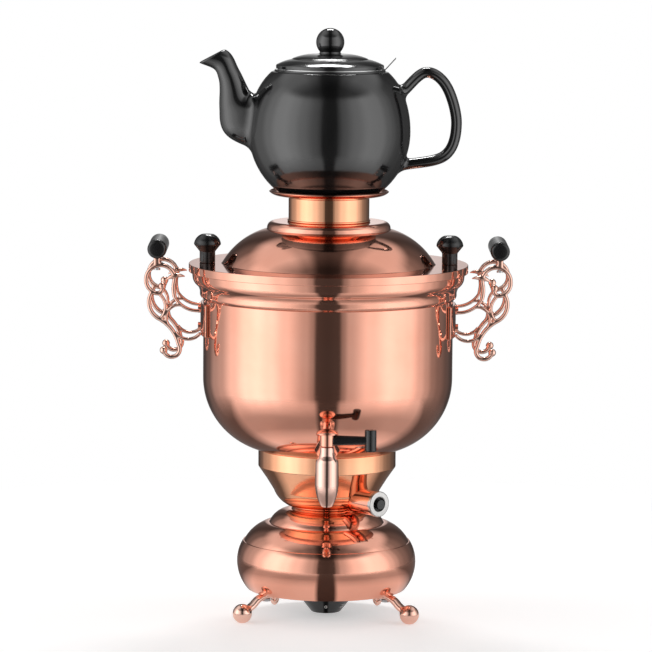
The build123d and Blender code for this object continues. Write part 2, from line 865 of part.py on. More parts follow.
with BuildPart() as handle_plate_right:
    with BuildSketch(Plane.XY.offset(bowl_z + handle_plate_bottom)):
        Circle(plate_face)
        Circle(bowl_radius, mode=Mode.SUBTRACT)
        with BuildLine():
            spread = 2 * bowl_radius * math.tan(math.radians(handle_plate_spread))
            Polyline((0, 0), (2 * bowl_radius, -spread), (2 * bowl_radius, spread), close=True)
        make_face(mode=Mode.INTERSECT)
    extrude(amount=handle_plate_height)
    with BuildSketch(Plane.YZ):
        with Locations((0, handle_screw_z)):
            with GridLocations(0, handle_screw_pitch, 1, 2):
                Circle(handle_screw_radius)
    extrude(amount=bowl_radius * 2, mode=Mode.SUBTRACT)
handle_plate_right.part.label = "handle_plate_right"

with BuildPart() as handle_arms_right:
    with BuildSketch(Plane.XZ.offset(arm_offset)):
        with BuildLine():
            rise = ThreePointArc(scroll(0.58, 0.44), scroll(0.61, 0.36), scroll(0.58, 0.275))
            crown = ThreePointArc(rise @ 1, scroll(0.92, 0.146), scroll(1.255, 0.28))
            sink = ThreePointArc(crown @ 1, scroll(1.2, 0.355), scroll(1.07, 0.395))
            ThreePointArc(sink @ 1, scroll(0.9, 0.39), scroll(0.875, 0.335))
            belly = ThreePointArc(scroll(1.1, 0.385), scroll(1.18, 0.515), scroll(0.93, 0.64))
            tail = ThreePointArc(belly @ 1, scroll(0.64, 0.74), scroll(0.49, 0.87))
            TangentArc(tail @ 1, scroll(0.84, 0.925), tangent=tail % 1)
        trace(line_width=scroll_width)
        with BuildLine():
            ThreePointArc(scroll(0.93, 0.64), scroll(0.8, 0.535), scroll(0.92, 0.42))
            link = ThreePointArc(scroll(-0.1, 0.56), scroll(0.3, 0.54), scroll(0.58, 0.44))
            ThreePointArc(link @ 0.7, scroll(0.66, 0.51), scroll(0.75, 0.68))
            ThreePointArc(scroll(-0.1, 0.765), scroll(0.2, 0.82), scroll(0.56, 0.76))
        trace(line_width=scroll_fine_width)
        with Locations(scroll(0.88, 0.34), scroll(0.84, 0.925)):
            Circle(scroll_ball_radius)
        with BuildLine():
            leaf = ThreePointArc(scroll(0.34, 0.25), scroll(0.6, 0.245), scroll(0.8, 0.285))
            ThreePointArc(leaf @ 1, scroll(0.55, 0.3), leaf @ 0)
        make_face()
        with Locations((grip_x, (scroll(0, 0)[1] + scroll(0, 0.16)[1]) / 2)):
            Rectangle(scroll_width * 1.6, handle_drop * 0.16)
    extrude(amount=arm_thickness / 2, both=True)
    with Locations((grip_x, 0, grip_z)):
        Cylinder(grip_radius, 3 * grip_length, rotation=(90, 0, 0), mode=Mode.SUBTRACT)
    with Locations((0, 0, grip_z - handle_drop)):
        Cylinder(plate_face, handle_drop * 3, mode=Mode.SUBTRACT)
    with Locations((grip_x, -arm_offset, ring_bottom_z)):
        Cylinder(grip_screw_radius, grip_radius * 2, mode=Mode.SUBTRACT)
        Cylinder(
            grip_screw_head_radius + running_gap,
            scroll_width,
            align=(Align.CENTER, Align.CENTER, Align.MAX),
            mode=Mode.SUBTRACT,
        )
    mirror(about=Plane.XZ)
handle_arms_right.part.label = "handle_arms_right"

with BuildPart() as grip_right:
    with Locations((grip_x, 0, grip_z)):
        Cylinder(grip_radius, grip_length, rotation=(90, 0, 0))
    fillet(grip_right.edges().filter_by(GeomType.CIRCLE), grip_round)
    with Locations((grip_x, -arm_offset, grip_z), (grip_x, arm_offset, grip_z)):
        Cylinder(
            grip_screw_radius,
            grip_radius,
            align=(Align.CENTER, Align.CENTER, Align.MAX),
            mode=Mode.SUBTRACT,
        )
grip_right.part.label = "grip_right"

with BuildPart() as grip_screws:
    with GridLocations(2 * grip_x, 2 * arm_offset, 2, 2):
        with Locations((0, 0, ring_bottom_z)):
            Cylinder(grip_screw_radius, grip_screw_length, align=(Align.CENTER, Align.CENTER, Align.MIN))
            Cylinder(
                grip_screw_head_radius,
                grip_screw_radius,
                align=(Align.CENTER, Align.CENTER, Align.MAX),
            )
grip_screws.part.label = "grip_screws"

with BuildPart() as handle_screws:
    with BuildSketch(Plane.YZ.offset(plate_face)):
        with Locations((0, handle_screw_z)):
            with GridLocations(0, handle_screw_pitch, 1, 2):
                Circle(screw_head_radius)
    extrude(amount=handle_screw_radius)
    with BuildSketch(Plane.YZ.offset(plate_face)):
        with Locations((0, handle_screw_z)):
            with GridLocations(0, handle_screw_pitch, 1, 2):
                Circle(handle_screw_radius)
    extrude(amount=-handle_bolt_length)
    mirror(about=Plane.YZ)
handle_screws.part.label = "handle_screws"

with BuildPart() as handle_nuts:
    with BuildSketch(Plane.YZ.offset(handle_nut_face)):
        with Locations((0, handle_screw_z)):
            with GridLocations(0, handle_screw_pitch, 1, 2):
                RegularPolygon(handle_screw_radius * 2, 6)
                Circle(handle_screw_radius, mode=Mode.SUBTRACT)
    extrude(amount=-2 * handle_screw_radius * nut_ratio)
    mirror(about=Plane.YZ)
handle_nuts.part.label = "handle_nuts"

left_pieces = {}
for right in (handle_plate_right, handle_arms_right, grip_right):
    name = right.part.label.replace("right", "left")
    with BuildPart() as left:
        mirror(right.part, about=Plane.YZ)
    left.part.label = name
    left_pieces[name] = left.part


# --------------------------------------------------------------------------- lid
def dome_outline(inset):
    """Half section of the lid's dome with the step under the chimney."""
    foot = (lid_dome_radius - inset, rim_z)
    step_foot = (lid_step_radius - inset, lid_z + lid_dome_height - inset)
    shoulder = (lid_step_radius - inset, lid_top_z - lid_step_round)
    top = (lid_step_radius - lid_step_round, lid_top_z - inset)
    SagittaArc(foot, step_foot, -lid_dome_bulge)
    Line(step_foot, shoulder)
    SagittaArc(shoulder, top, -lid_step_round * 0.3)
    Polyline(top, (0, top[1]), (0, rim_z), foot)


with BuildPart() as lid:
    with BuildSketch(Plane.XZ):
        with BuildLine():
            dome_outline(0)
        make_face()
        with Locations((0, rim_z)):
            Rectangle(lid_radius, sheet, align=(Align.MIN, Align.MIN))
        with Locations((lid_edge_radius, lid_z)):
            Rectangle(sheet, lid_edge_height, align=(Align.MIN, Align.MAX))
        with Locations((lid_skirt_radius, rim_z)):
            Rectangle(sheet, lid_skirt_depth, align=(Align.MIN, Align.MAX))
    revolve(axis=Axis.Z)
    with BuildSketch(Plane.XZ):
        with BuildLine():
            dome_outline(sheet)
        make_face()
    revolve(axis=Axis.Z, mode=Mode.SUBTRACT)
    with Locations((0, 0, lid_top_z)):
        Cylinder(chimney_radius - 3 * sheet, sheet * 4, mode=Mode.SUBTRACT)
    with Locations((-knob_x, 0, lid_z), (knob_x, 0, lid_z)):
        Cylinder(knob_screw_radius, sheet * 4, mode=Mode.SUBTRACT)
lid.part.label = "lid"

with BuildPart() as chimney:
    with BuildSketch(Plane.XZ):
        with Locations((chimney_radius - sheet, lid_top_z)):
            Rectangle(sheet, chimney_height, align=(Align.MIN, Align.MIN))
        with Locations((chimney_radius, lid_top_z + chimney_bead), (chimney_radius, plate_z - chimney_bead)):
            Circle(chimney_bead)
    revolve(axis=Axis.Z)
chimney.part.label = "chimney"

with BuildPart() as pot_plate:
    with BuildSketch(Plane.XZ):
        with BuildLine():
            dish = Line((plate_hole_radius, plate_z), (plate_flat_radius, plate_z))
            rise = TangentArc(dish @ 1, (plate_radius, plate_z + plate_rise), tangent=(1, 0))
            edge = Line(rise @ 1, (plate_radius - sheet, plate_z + plate_rise + sheet))
            TangentArc((plate_flat_radius, pot_z), edge @ 1, tangent=(1, 0))
            Polyline((plate_flat_radius, pot_z), (plate_hole_radius, pot_z), dish @ 0)
        make_face()
    revolve(axis=Axis.Z)
pot_plate.part.label = "pot_plate"

head_z = lid_z + knob_neck_height

with BuildPart() as knob:
    with BuildSketch(Plane.XZ):
        with BuildLine():
            stem = Polyline((0, lid_z), (knob_neck_radius, lid_z), (knob_neck_radius, head_z))
            under = Line(stem @ 1, (knob_head_radius, lid_z + knob_height - knob_head_drop))
            cheek = SagittaArc(under @ 1, (knob_top_radius, lid_z + knob_height), -knob_bulge)
            Polyline(cheek @ 1, (0, lid_z + knob_height), (0, lid_z))
        make_face()
    revolve(axis=Axis.Z)
    with Locations((0, 0, lid_z)):
        Cylinder(
            knob_screw_radius,
            knob_height / 2,
            align=(Align.CENTER, Align.CENTER, Align.MIN),
            mode=Mode.SUBTRACT,
        )

with BuildPart() as lid_knobs:
    with Locations((-knob_x, 0, 0), (knob_x, 0, 0)):
        add(knob.part)
lid_knobs.part.label = "lid_knobs"

with BuildPart() as knob_screws:
    with Locations((-knob_x, 0, rim_z), (knob_x, 0, rim_z)):
        Cylinder(
            knob_screw_radius,
            sheet + knob_height / 2,
            align=(Align.CENTER, Align.CENTER, Align.MIN),
        )
        Cylinder(
            screw_head_radius,
            knob_screw_radius,
            align=(Align.CENTER, Align.CENTER, Align.MAX),
        )
knob_screws.part.label = "knob_screws"


# ------------------------------------------------------------------------ teapot
def pot_outline(inset):
    """Half section of the pot's body, drawn smaller by inset."""
    foot = (pot_foot_radius - inset / 2, pot_z + inset)
    belly = (pot_radius - inset, pot_z + pot_belly_height)
    shoulder = (pot_shoulder_radius - inset, pot_z + pot_shoulder_height)
    top = (pot_mouth_edge_radius - inset, pot_top_z)
    SagittaArc(foot, belly, -pot_lower_bulge)
    upper = TangentArc(belly, shoulder, tangent=(0, 1))
    TangentArc(shoulder, top, tangent=upper % 1)
    Polyline(top, (0, top[1]), (0, foot[1]), foot)


def spout_sections(wall):
    """The spout's cross sections at its stations, each thinner by wall."""
    sections = []
    for out, up, heading, half_height, half_width in spout_stations:
        along = Vector(-1, 0, 0).rotate(Axis.Y, heading)
        with BuildSketch(Plane(origin=(-out, 0, pot_z + up), x_dir=(0, 1, 0), z_dir=along)) as section:
            Ellipse(half_width - wall, half_height - wall)
        sections.append(section.sketch)
    return sections


with BuildPart() as spout_outside:
    loft(sections=spout_sections(0))

with BuildPart() as spout_inside:
    loft(sections=spout_sections(spout_wall))

beak_run = Vector(spout_beak[0] - spout_mouth[0], 0, spout_beak[1] - spout_mouth[1])
beak_angle = math.degrees(math.atan2(beak_run.Z, beak_run.X))

with BuildPart() as pot_outside:
    with BuildSketch(Plane.XZ):
        with BuildLine():
            pot_outline(0)
        make_face()
        with Locations((0, pot_top_z - pot_lip_height)):
            Rectangle(pot_lip_radius, 2 * pot_lip_height, align=(Align.MIN, Align.MIN))
    revolve(axis=Axis.Z)

with BuildPart() as teapot:
    add(pot_outside.part)
    with BuildSketch(Plane.XZ):
        with BuildLine():
            pot_outline(pot_wall)
        make_face()
        with Locations((0, pot_top_z - pot_wall)):
            Rectangle(pot_mouth_radius, 4 * pot_wall, align=(Align.MIN, Align.MIN))
    revolve(axis=Axis.Z, mode=Mode.SUBTRACT)
    add(spout_inside.part, mode=Mode.SUBTRACT)
    with Locations((0, 0, pot_z)):
        Cylinder(
            pot_foot_radius - pot_wall,
            pot_foot_recess,
            align=(Align.CENTER, Align.CENTER, Align.MIN),
            mode=Mode.SUBTRACT,
        )
teapot.part.label = "teapot"

with BuildPart() as teapot_spout:
    add(spout_outside.part)
    add(spout_inside.part, mode=Mode.SUBTRACT)
    add(pot_outside.part, mode=Mode.SUBTRACT)
    split(
        bisect_by=Plane(
            origin=(-spout_mouth[0], 0, pot_z + spout_mouth[1]),
            x_dir=(0, 1, 0),
            z_dir=Vector(-1, 0, 0).rotate(Axis.Y, 90 + beak_angle),
        ),
        keep=Keep.BOTTOM,
    )
teapot_spout.part.label = "teapot_spout"

with BuildPart() as teapot_handle:
    with BuildLine(Plane.XZ) as handle_path:
        Spline(*[(out, pot_z + up) for out, up in pot_handle_line])
    with BuildSketch(
        Plane(origin=handle_path.line @ 0, x_dir=(0, 1, 0), z_dir=handle_path.line % 0)
    ):
        Ellipse(pot_handle_width / 2, pot_handle_thickness / 2)
    sweep(path=handle_path.line)
    add(pot_outside.part, mode=Mode.SUBTRACT)
teapot_handle.part.label = "teapot_handle"

# --------------------------------------------------------------------- strainer
with BuildPart() as strainer:
    with BuildSketch(Plane.XZ):
        with BuildLine():
            Polyline(
                (0, ledge_z - strainer_depth),
                (strainer_bottom_radius, ledge_z - strainer_depth),
                (strainer_radius, ledge_z),
                (strainer_flange_radius, ledge_z),
                (strainer_flange_radius, ledge_z + strainer_sheet),
                (strainer_radius - strainer_sheet, ledge_z + strainer_sheet),
                (strainer_bottom_radius - strainer_sheet, ledge_z - strainer_depth + strainer_sheet),
                (0, ledge_z - strainer_depth + strainer_sheet),
                close=True,
            )
        make_face()
    revolve(axis=Axis.Z)
    with BuildSketch(Plane.XZ):
        with BuildLine():
            tab_start = (strainer_radius, ledge_z)
            tab_bend = (pot_lip_radius, ledge_z)
            tab_end = (strainer_tab_reach, ledge_z + strainer_tab_rise)
            Polyline(
                tab_start,
                tab_bend,
                tab_end,
                (tab_end[0], tab_end[1] + strainer_sheet),
                (tab_bend[0], tab_bend[1] + strainer_sheet),
                (tab_start[0], tab_start[1] + strainer_sheet),
                close=True,
            )
        make_face()
    extrude(amount=strainer_tab_width / 2, both=True)
    with PolarLocations(0, strainer_slots // 2):
        with Locations((0, 0, ledge_z - strainer_depth / 2)):
            Box(strainer_slot_width, 3 * strainer_radius, strainer_slot_height, mode=Mode.SUBTRACT)
strainer.part.label = "strainer"

# ------------------------------------------------------------------- teapot lid
with BuildPart() as teapot_lid:
    with BuildSketch(Plane.XZ):
        with BuildLine():
            edge_top = pot_lid_z + pot_lid_edge
            crown_z = pot_lid_z + pot_lid_height
            crown = SagittaArc((pot_lid_radius, edge_top), (pot_knob_neck_radius, crown_z), -pot_lid_bulge)
            Polyline(crown @ 1, (0, crown_z), (0, pot_lid_z), (pot_lid_radius, pot_lid_z), crown @ 0)
        make_face()
        with Locations((0, pot_lid_z)):
            Rectangle(
                strainer_radius - strainer_sheet - 2 * seat_gap,
                pot_lid_skirt_depth,
                align=(Align.MIN, Align.MAX),
            )
        with Locations((0, pot_lid_z)):
            Rectangle(pot_knob_neck_radius, pot_knob_centre_height, align=(Align.MIN, Align.MIN))
    revolve(axis=Axis.Z)
    with Locations((0, 0, pot_lid_z + pot_knob_centre_height)):
        Sphere(pot_knob_radius)
    with Locations((0, 0, pot_lid_z - pot_lid_skirt_depth)):
        Cylinder(
            strainer_radius - strainer_sheet - pot_wall,
            pot_lid_skirt_depth + pot_lid_edge,
            align=(Align.CENTER, Align.CENTER, Align.MIN),
            mode=Mode.SUBTRACT,
        )
teapot_lid.part.label = "teapot_lid"

# ------------------------------------------------------------------------- files
pieces = [
    base_shell,
    base_plate,
    feet,
    foot_screws,
    foot_nuts,
    neck,
    bowl,
    heater_gasket,
    heater_plate,
    heating_ring,
    thermal_cutout,
    tie_rod,
    clamp_washer,
    tie_nut,
    thermostat,
    thermostat_screws,
    dial_spindle,
    dial,
    inlet_housing,
    inlet_pins,
    switch_sleeve,
    switch_body,
    switch_bezel,
    switch_button,
    tap_body,
    tap_boss,
    tap_gasket,
    tap_nut,
    tap_plug,
    tap_cap,
    tap_lever,
    handle_plate_right,
    handle_arms_right,
    grip_right,
    grip_screws,
    handle_screws,
    handle_nuts,
    lid,
    chimney,
    pot_plate,
    lid_knobs,
    knob_screws,
    teapot,
    teapot_spout,
    teapot_handle,
    strainer,
    teapot_lid,
]
os.makedirs("parts", exist_ok=True)
for piece in pieces:
    export_step(piece.part, f"parts/{piece.part.label}.step")
for label, part in left_pieces.items():
    export_step(part, f"parts/{label}.step")
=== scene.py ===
import math

import bmesh
import bpy
from mathutils import Matrix, Quaternion, Vector


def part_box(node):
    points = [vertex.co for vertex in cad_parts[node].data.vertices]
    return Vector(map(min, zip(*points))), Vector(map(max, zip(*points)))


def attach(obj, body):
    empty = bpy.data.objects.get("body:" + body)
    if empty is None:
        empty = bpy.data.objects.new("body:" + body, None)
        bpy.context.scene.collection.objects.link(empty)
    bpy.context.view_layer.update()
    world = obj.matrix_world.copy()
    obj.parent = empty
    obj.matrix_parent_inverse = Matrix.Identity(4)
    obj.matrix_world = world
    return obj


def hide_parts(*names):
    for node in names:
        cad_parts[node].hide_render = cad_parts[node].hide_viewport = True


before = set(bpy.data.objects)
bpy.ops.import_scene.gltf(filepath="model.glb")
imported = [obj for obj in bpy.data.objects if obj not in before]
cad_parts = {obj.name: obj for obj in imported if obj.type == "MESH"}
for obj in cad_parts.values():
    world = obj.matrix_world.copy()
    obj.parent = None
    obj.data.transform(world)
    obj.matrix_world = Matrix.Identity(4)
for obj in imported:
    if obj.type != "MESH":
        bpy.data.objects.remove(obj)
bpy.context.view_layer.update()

# lengths are in millimetres and meshes in metres; floor, lamp and camera are given in metres
MM = 0.001
X, Z = 0, 2
AROUND = 192
ARC_STEP = math.radians(3)


def extent(node, axis):
    """Lowest and highest coordinate of a CAD node along an axis."""
    return tuple(round(corner[axis] / MM, 1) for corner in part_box(node))


# ------------------------------------------------------------------ drawing helpers
class Outline:
    """A half section, (radius, height), made of lines and arcs."""

    def __init__(self, *start):
        self.points = [Vector(start)]
        self.heading = None

    def line(self, *ends):
        for end in ends:
            self.heading = Vector(end) - self.points[-1]
            self.points.append(Vector(end))
        return self

    def arc(self, end, bulge):
        """Arc to end; a positive bulge lies to the left of the way there."""
        start, end = self.points[-1], Vector(end)
        chord = end - start
        half = 2 * math.atan2(2 * bulge, chord.length)
        radius = chord.length / (2 * math.sin(half))
        left = Vector((-chord.y, chord.x)).normalized()
        centre = (start + end) / 2 - left * radius * math.cos(half)
        steps = max(2, math.ceil(abs(2 * half) / ARC_STEP))
        for i in range(1, steps + 1):
            turn = Matrix.Rotation(-2 * half * i / steps, 2)
            self.points.append(centre + turn @ (start - centre))
        self.heading = Matrix.Rotation(-half, 2) @ chord
        return self

    def onward(self, end, heading=None):
        """Arc to end that leaves along heading, or goes on smoothly."""
        heading = Vector(heading) if heading else self.heading
        chord = Vector(end) - self.points[-1]
        half = math.atan2(chord.x * heading.y - chord.y * heading.x, chord.dot(heading))
        return self.arc(end, chord.length / 2 * math.tan(half / 2))


def shell(outer, inner):
    """A closed outline from an outer line and the line inside it."""
    joined = Outline(*outer.points[0])
    joined.points = outer.points + inner.points[::-1]
    return joined


def turned(outline, at=(0, 0), around=AROUND):
    """bmesh of a closed outline turned about the vertical axis at a place in the plan."""
    bm = bmesh.new()
    points = outline.points
    if (points[0] - points[-1]).length < 1e-6:
        points = points[:-1]
    rings = []
    for radius, height in points:
        ring = []
        for i in range(around if radius > 1e-6 else 1):
            turn = 2 * math.pi * i / around
            x, y = at[0] + radius * math.cos(turn), at[1] + radius * math.sin(turn)
            ring.append(bm.verts.new((x * MM, y * MM, height * MM)))
        rings.append(ring)
    for lower, upper in zip(rings, rings[1:] + rings[:1]):
        if len(lower) == 1 and len(upper) == 1:
            continue
        for i in range(around):
            j = (i + 1) % around
            corners = [lower[i % len(lower)], lower[j % len(lower)]]
            corners += [upper[j % len(upper)], upper[i % len(upper)]]
            corners = list(dict.fromkeys(corners))
            if len(corners) > 2:
                bm.faces.new(corners)
    return bm


def swept(path, section):
    """bmesh of a closed tube along path points. section(t) gives its ring as (across, up) pairs."""
    bm = bmesh.new()
    rings = []
    last = len(path) - 1
    for i, here in enumerate(path):
        ahead = (path[min(i + 1, last)] - path[max(i - 1, 0)]).normalized()
        side = ahead.cross(Vector((0, 1, 0))).normalized()
        lift = side.cross(ahead)
        rings.append([bm.verts.new((here + side * a + lift * b) * MM) for a, b in section(i / last)])
    for lower, upper in zip(rings, rings[1:]):
        for i in range(len(lower)):
            j = (i + 1) % len(lower)
            bm.faces.new((lower[i], lower[j], upper[j], upper[i]))
    bm.faces.new(rings[0][::-1])
    bm.faces.new(rings[-1])
    return bm


def rounded(width, thickness, count=20, power=3.0):
    """A rounded rectangle as (across, up) pairs."""
    ring = []
    for i in range(count):
        a = 2 * math.pi * i / count
        c, s = math.cos(a), math.sin(a)
        across = width / 2 * math.copysign(abs(c) ** (2 / power), c)
        ring.append((across, thickness / 2 * math.copysign(abs(s) ** (2 / power), s)))
    return ring


def circle(radius, count=32):
    """A circle as (across, up) pairs."""
    turns = [2 * math.pi * i / count for i in range(count)]
    return [(radius * math.sin(a), radius * math.cos(a)) for a in turns]


def flat_arc(start, end, bulge):
    """Points of an arc drawn in the X-Z plane."""
    return [Vector((p.x, 0, p.y)) for p in Outline(*start).arc(end, bulge).points]


def spline(points, steps=40):
    """Points of a smooth line through the given ones."""
    points = [Vector(p) for p in points]
    line = []
    ends = [points[0] * 2 - points[1], *points, points[-1] * 2 - points[-2]]
    for a, b, c, d in zip(ends, ends[1:], ends[2:], ends[3:]):
        for i in range(steps):
            t = i / steps
            run = (c - a) * t
            bend = (a * 2 - b * 5 + c * 4 - d) * t**2
            sway = (b * 3 - a - c * 3 + d) * t**3
            line.append((b * 2 + run + bend + sway) / 2)
    return line + [points[-1]]


def add_ball(bm, centre, radius):
    """Adds a sphere to bm."""
    place = Matrix.Translation(centre * MM)
    bmesh.ops.create_uvsphere(bm, u_segments=32, v_segments=20, radius=radius * MM, matrix=place)


def hold(name, bm):
    """An object with the mesh of bm."""
    mesh = bpy.data.meshes.new(name)
    bm.to_mesh(mesh)
    bm.free()
    holder = bpy.data.objects.new(name, mesh)
    bpy.context.scene.collection.objects.link(holder)
    return holder


def release(holder):
    """bmesh of an object with its modifiers applied. The object is removed."""
    graph = bpy.context.evaluated_depsgraph_get()
    mesh = bpy.data.meshes.new_from_object(holder.evaluated_get(graph))
    bpy.data.objects.remove(holder)
    bm = bmesh.new()
    bm.from_mesh(mesh)
    bpy.data.meshes.remove(mesh)
    return bm


def merge(parts):
    """One bmesh of several."""
    whole = bmesh.new()
    for part in parts:
        mesh = bpy.data.meshes.new("part")
        part.to_mesh(mesh)
        part.free()
        whole.from_mesh(mesh)
        bpy.data.meshes.remove(mesh)
    return whole


def cast(bm, voxel, smoothing):
    """Fuses overlapping forms into one casting with soft inner corners."""
    bmesh.ops.recalc_face_normals(bm, faces=bm.faces)
    holder = hold("casting", bm)
    remesh = holder.modifiers.new("remesh", "REMESH")
    remesh.mode = "VOXEL"
    remesh.voxel_size = voxel * MM
    soft = holder.modifiers.new("smooth", "SMOOTH")
    soft.factor = 0.5
    soft.iterations = smoothing
    return release(holder)


def pierced(bm, low, high):
    """bm less the box between two corners."""
    cutter = bmesh.new()
    bmesh.ops.create_cube(cutter, size=1)
    for vert in cutter.verts:
        vert.co = Vector([(a if c < 0 else b) * MM for c, a, b in zip(vert.co, low, high)])
    bmesh.ops.recalc_face_normals(bm, faces=bm.faces)
    holder, tool = hold("pierced", bm), hold("tool", cutter)
    cut = holder.modifiers.new("cut", "BOOLEAN")
    cut.object = tool
    cut.solver = "EXACT"
    result = release(holder)
    bpy.data.objects.remove(tool)
    return result


def soften(piece, width, angle=30, segments=3):
    """Rounds the sharp edges of a piece by width."""
    bevel = piece.modifiers.new("bevel", "BEVEL")
    bevel.width = width * MM
    bevel.segments = segments
    bevel.limit_method = "ANGLE"
    bevel.angle_limit = math.radians(angle)
    weigh = piece.modifiers.new("normals", "WEIGHTED_NORMAL")
    weigh.weight = 100
    weigh.keep_sharp = True


def finish_mesh(name, bm, body, paint, replaces=(), bevel=0.0):
    """Turns bm into a piece that rides on body, with softened edges."""
    bmesh.ops.recalc_face_normals(bm, faces=bm.faces)
    piece = hold(name, bm)
    piece.data.shade_smooth()
    piece.data.materials.append(paint)
    if bevel:
        soften(piece, bevel)
    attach(piece, body)
    if replaces:
        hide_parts(*replaces)


# ------------------------------------------------------------------------ materials
class Tree:
    """A node tree, with short ways to add nodes."""

    def __init__(self, tree):
        self.nodes = tree.nodes
        self.links = tree.links

    def put(self, kind, **settings):
        node = self.nodes.new(kind)
        for key, value in settings.items():
            setattr(node, key, value)
        return node

    def spread(self, socket, low, high, start=0.35, end=0.65, curve="LINEAR"):
        """Maps socket's start to end onto low to high."""
        node = self.put("ShaderNodeMapRange", interpolation_type=curve)
        for key, value in (("From Min", start), ("From Max", end), ("To Min", low), ("To Max", high)):
            node.inputs[key].default_value = value
        self.links.new(socket, node.inputs["Value"])
        return node.outputs["Result"]

    def join(self, operation, a, b=0.0):
        """A sum, product or the like of two sockets or numbers."""
        node = self.put("ShaderNodeMath", operation=operation)
        for value, socket in zip((a, b), node.inputs):
            if isinstance(value, (int, float)):
                socket.default_value = value
            else:
                self.links.new(value, socket)
        return node.outputs["Value"]

    def tint(self, factor, first, second):
        """Mixes two colours by factor, from 0 to 1. Each is three numbers or a socket."""
        node = self.put("ShaderNodeMix", data_type="RGBA")
        self.links.new(factor, node.inputs["Factor"])
        for colour, socket in ((first, node.inputs["A"]), (second, node.inputs["B"])):
            if isinstance(colour, tuple):
                socket.default_value = (*colour, 1)
            else:
                self.links.new(colour, socket)
        return node.outputs["Result"]

    def fade(self, factor, first, second):
        """Mixes two shaders by factor, from 0 to 1."""
        node = self.put("ShaderNodeMixShader")
        for source, socket in zip((factor, first, second), node.inputs):
            self.links.new(source, socket)
        return node.outputs[0]

    def axes(self, socket):
        """The X, Y and Z of a vector."""
        node = self.put("ShaderNodeSeparateXYZ")
        self.links.new(socket, node.inputs[0])
        return node.outputs


class Paint(Tree):
    """A node material around one Principled shader."""

    def __init__(self, name, colour, **sockets):
        self.material = bpy.data.materials.new(name)
        self.material.use_nodes = True
        super().__init__(self.material.node_tree)
        self.shader = self.nodes["Principled BSDF"]
        self.shader.inputs["Base Color"].default_value = (*colour, 1)
        for socket, value in sockets.items():
            self.shader.inputs[socket.replace("_", " ")].default_value = value
        self.bumped = None

    def noise(self, scale, stretch=(1, 1, 1), detail=2.0):
        """Noise in the piece's own metres."""
        coords = self.put("ShaderNodeTexCoord")
        mapping = self.put("ShaderNodeMapping")
        mapping.inputs["Scale"].default_value = stretch
        texture = self.put("ShaderNodeTexNoise")
        texture.inputs["Scale"].default_value = scale
        texture.inputs["Detail"].default_value = detail
        self.links.new(coords.outputs["Object"], mapping.inputs["Vector"])
        self.links.new(mapping.outputs["Vector"], texture.inputs["Vector"])
        return texture.outputs["Fac"]

    def feed(self, name, socket):
        """Links socket to the shader's socket called name."""
        self.links.new(socket, self.shader.inputs[name])

    def bump(self, socket, height):
        """Adds relief of height metres."""
        node = self.put("ShaderNodeBump")
        node.inputs["Strength"].default_value = 1.0
        node.inputs["Distance"].default_value = height
        self.links.new(socket, node.inputs["Height"])
        if self.bumped:
            self.links.new(self.bumped, node.inputs["Normal"])
        self.bumped = node.outputs["Normal"]
        self.feed("Normal", self.bumped)


def polished_copper(name, spin=60.0, shine=0.07, light=(0.95, 0.47, 0.345), dark=(0.91, 0.42, 0.30)):
    """Spun copper sheet, polished: long shallow waves, fine turning lines and a light haze."""
    paint = Paint(name, light, Metallic=1.0)
    haze = paint.noise(22, detail=4)
    lines = paint.noise(9, (1, 1, spin), detail=5)
    paint.feed("Base Color", paint.tint(paint.spread(haze, 0, 1), light, dark))
    cloudy = paint.spread(haze, -0.015, 0.02)
    paint.feed("Roughness", paint.join("ADD", cloudy, paint.spread(lines, shine - 0.015, shine + 0.02)))
    paint.bump(paint.noise(16, detail=1.0), 0.00022)
    paint.bump(lines, 0.000012)
    return paint.material


def glossy(name, colour, roughness, ior, peel=0.000008):
    """Glazed or moulded black: a little uneven in gloss, with a faint skin."""
    paint = Paint(name, colour, IOR=ior)
    cloud = paint.noise(35, detail=4)
    paint.feed("Roughness", paint.spread(cloud, roughness - 0.02, roughness + 0.03))
    brighter = tuple(c * 1.5 + 0.001 for c in colour)
    paint.feed("Base Color", paint.tint(paint.spread(paint.noise(60), 0, 1), colour, brighter))
    paint.bump(paint.noise(260, detail=1), peel)
    return paint.material


def metal(name, colour, roughness, grain=(1, 1, 30)):
    """Drawn or turned metal with fine lines."""
    paint = Paint(name, colour, Metallic=1.0)
    lines = paint.noise(40, grain, detail=6)
    paint.feed("Roughness", paint.spread(lines, roughness - 0.04, roughness + 0.08))
    darker = tuple(c * 0.88 for c in colour)
    paint.feed("Base Color", paint.tint(paint.spread(paint.noise(30, detail=4), 0, 1), colour, darker))
    paint.bump(lines, 0.00001)
    return paint.material


copper = polished_copper("polished_copper")
# cast copper, rougher and without turning lines; its paler colour is a painted highlight for the sheen of
# both side lights on the narrow arms and feet
cast_copper_painted_highlight = polished_copper("cast_copper_painted_highlight", 1.0, 0.16, (0.97, 0.63, 0.52), (0.93, 0.54, 0.43))
# a warmer copy of the same copper: its deeper orange is a painted reflection of copper mirrored in copper,
# used on the neck and chimney
painted_reflection_copper = polished_copper("painted_reflection_copper", light=(0.97, 0.5, 0.3), dark=(0.93, 0.43, 0.24))
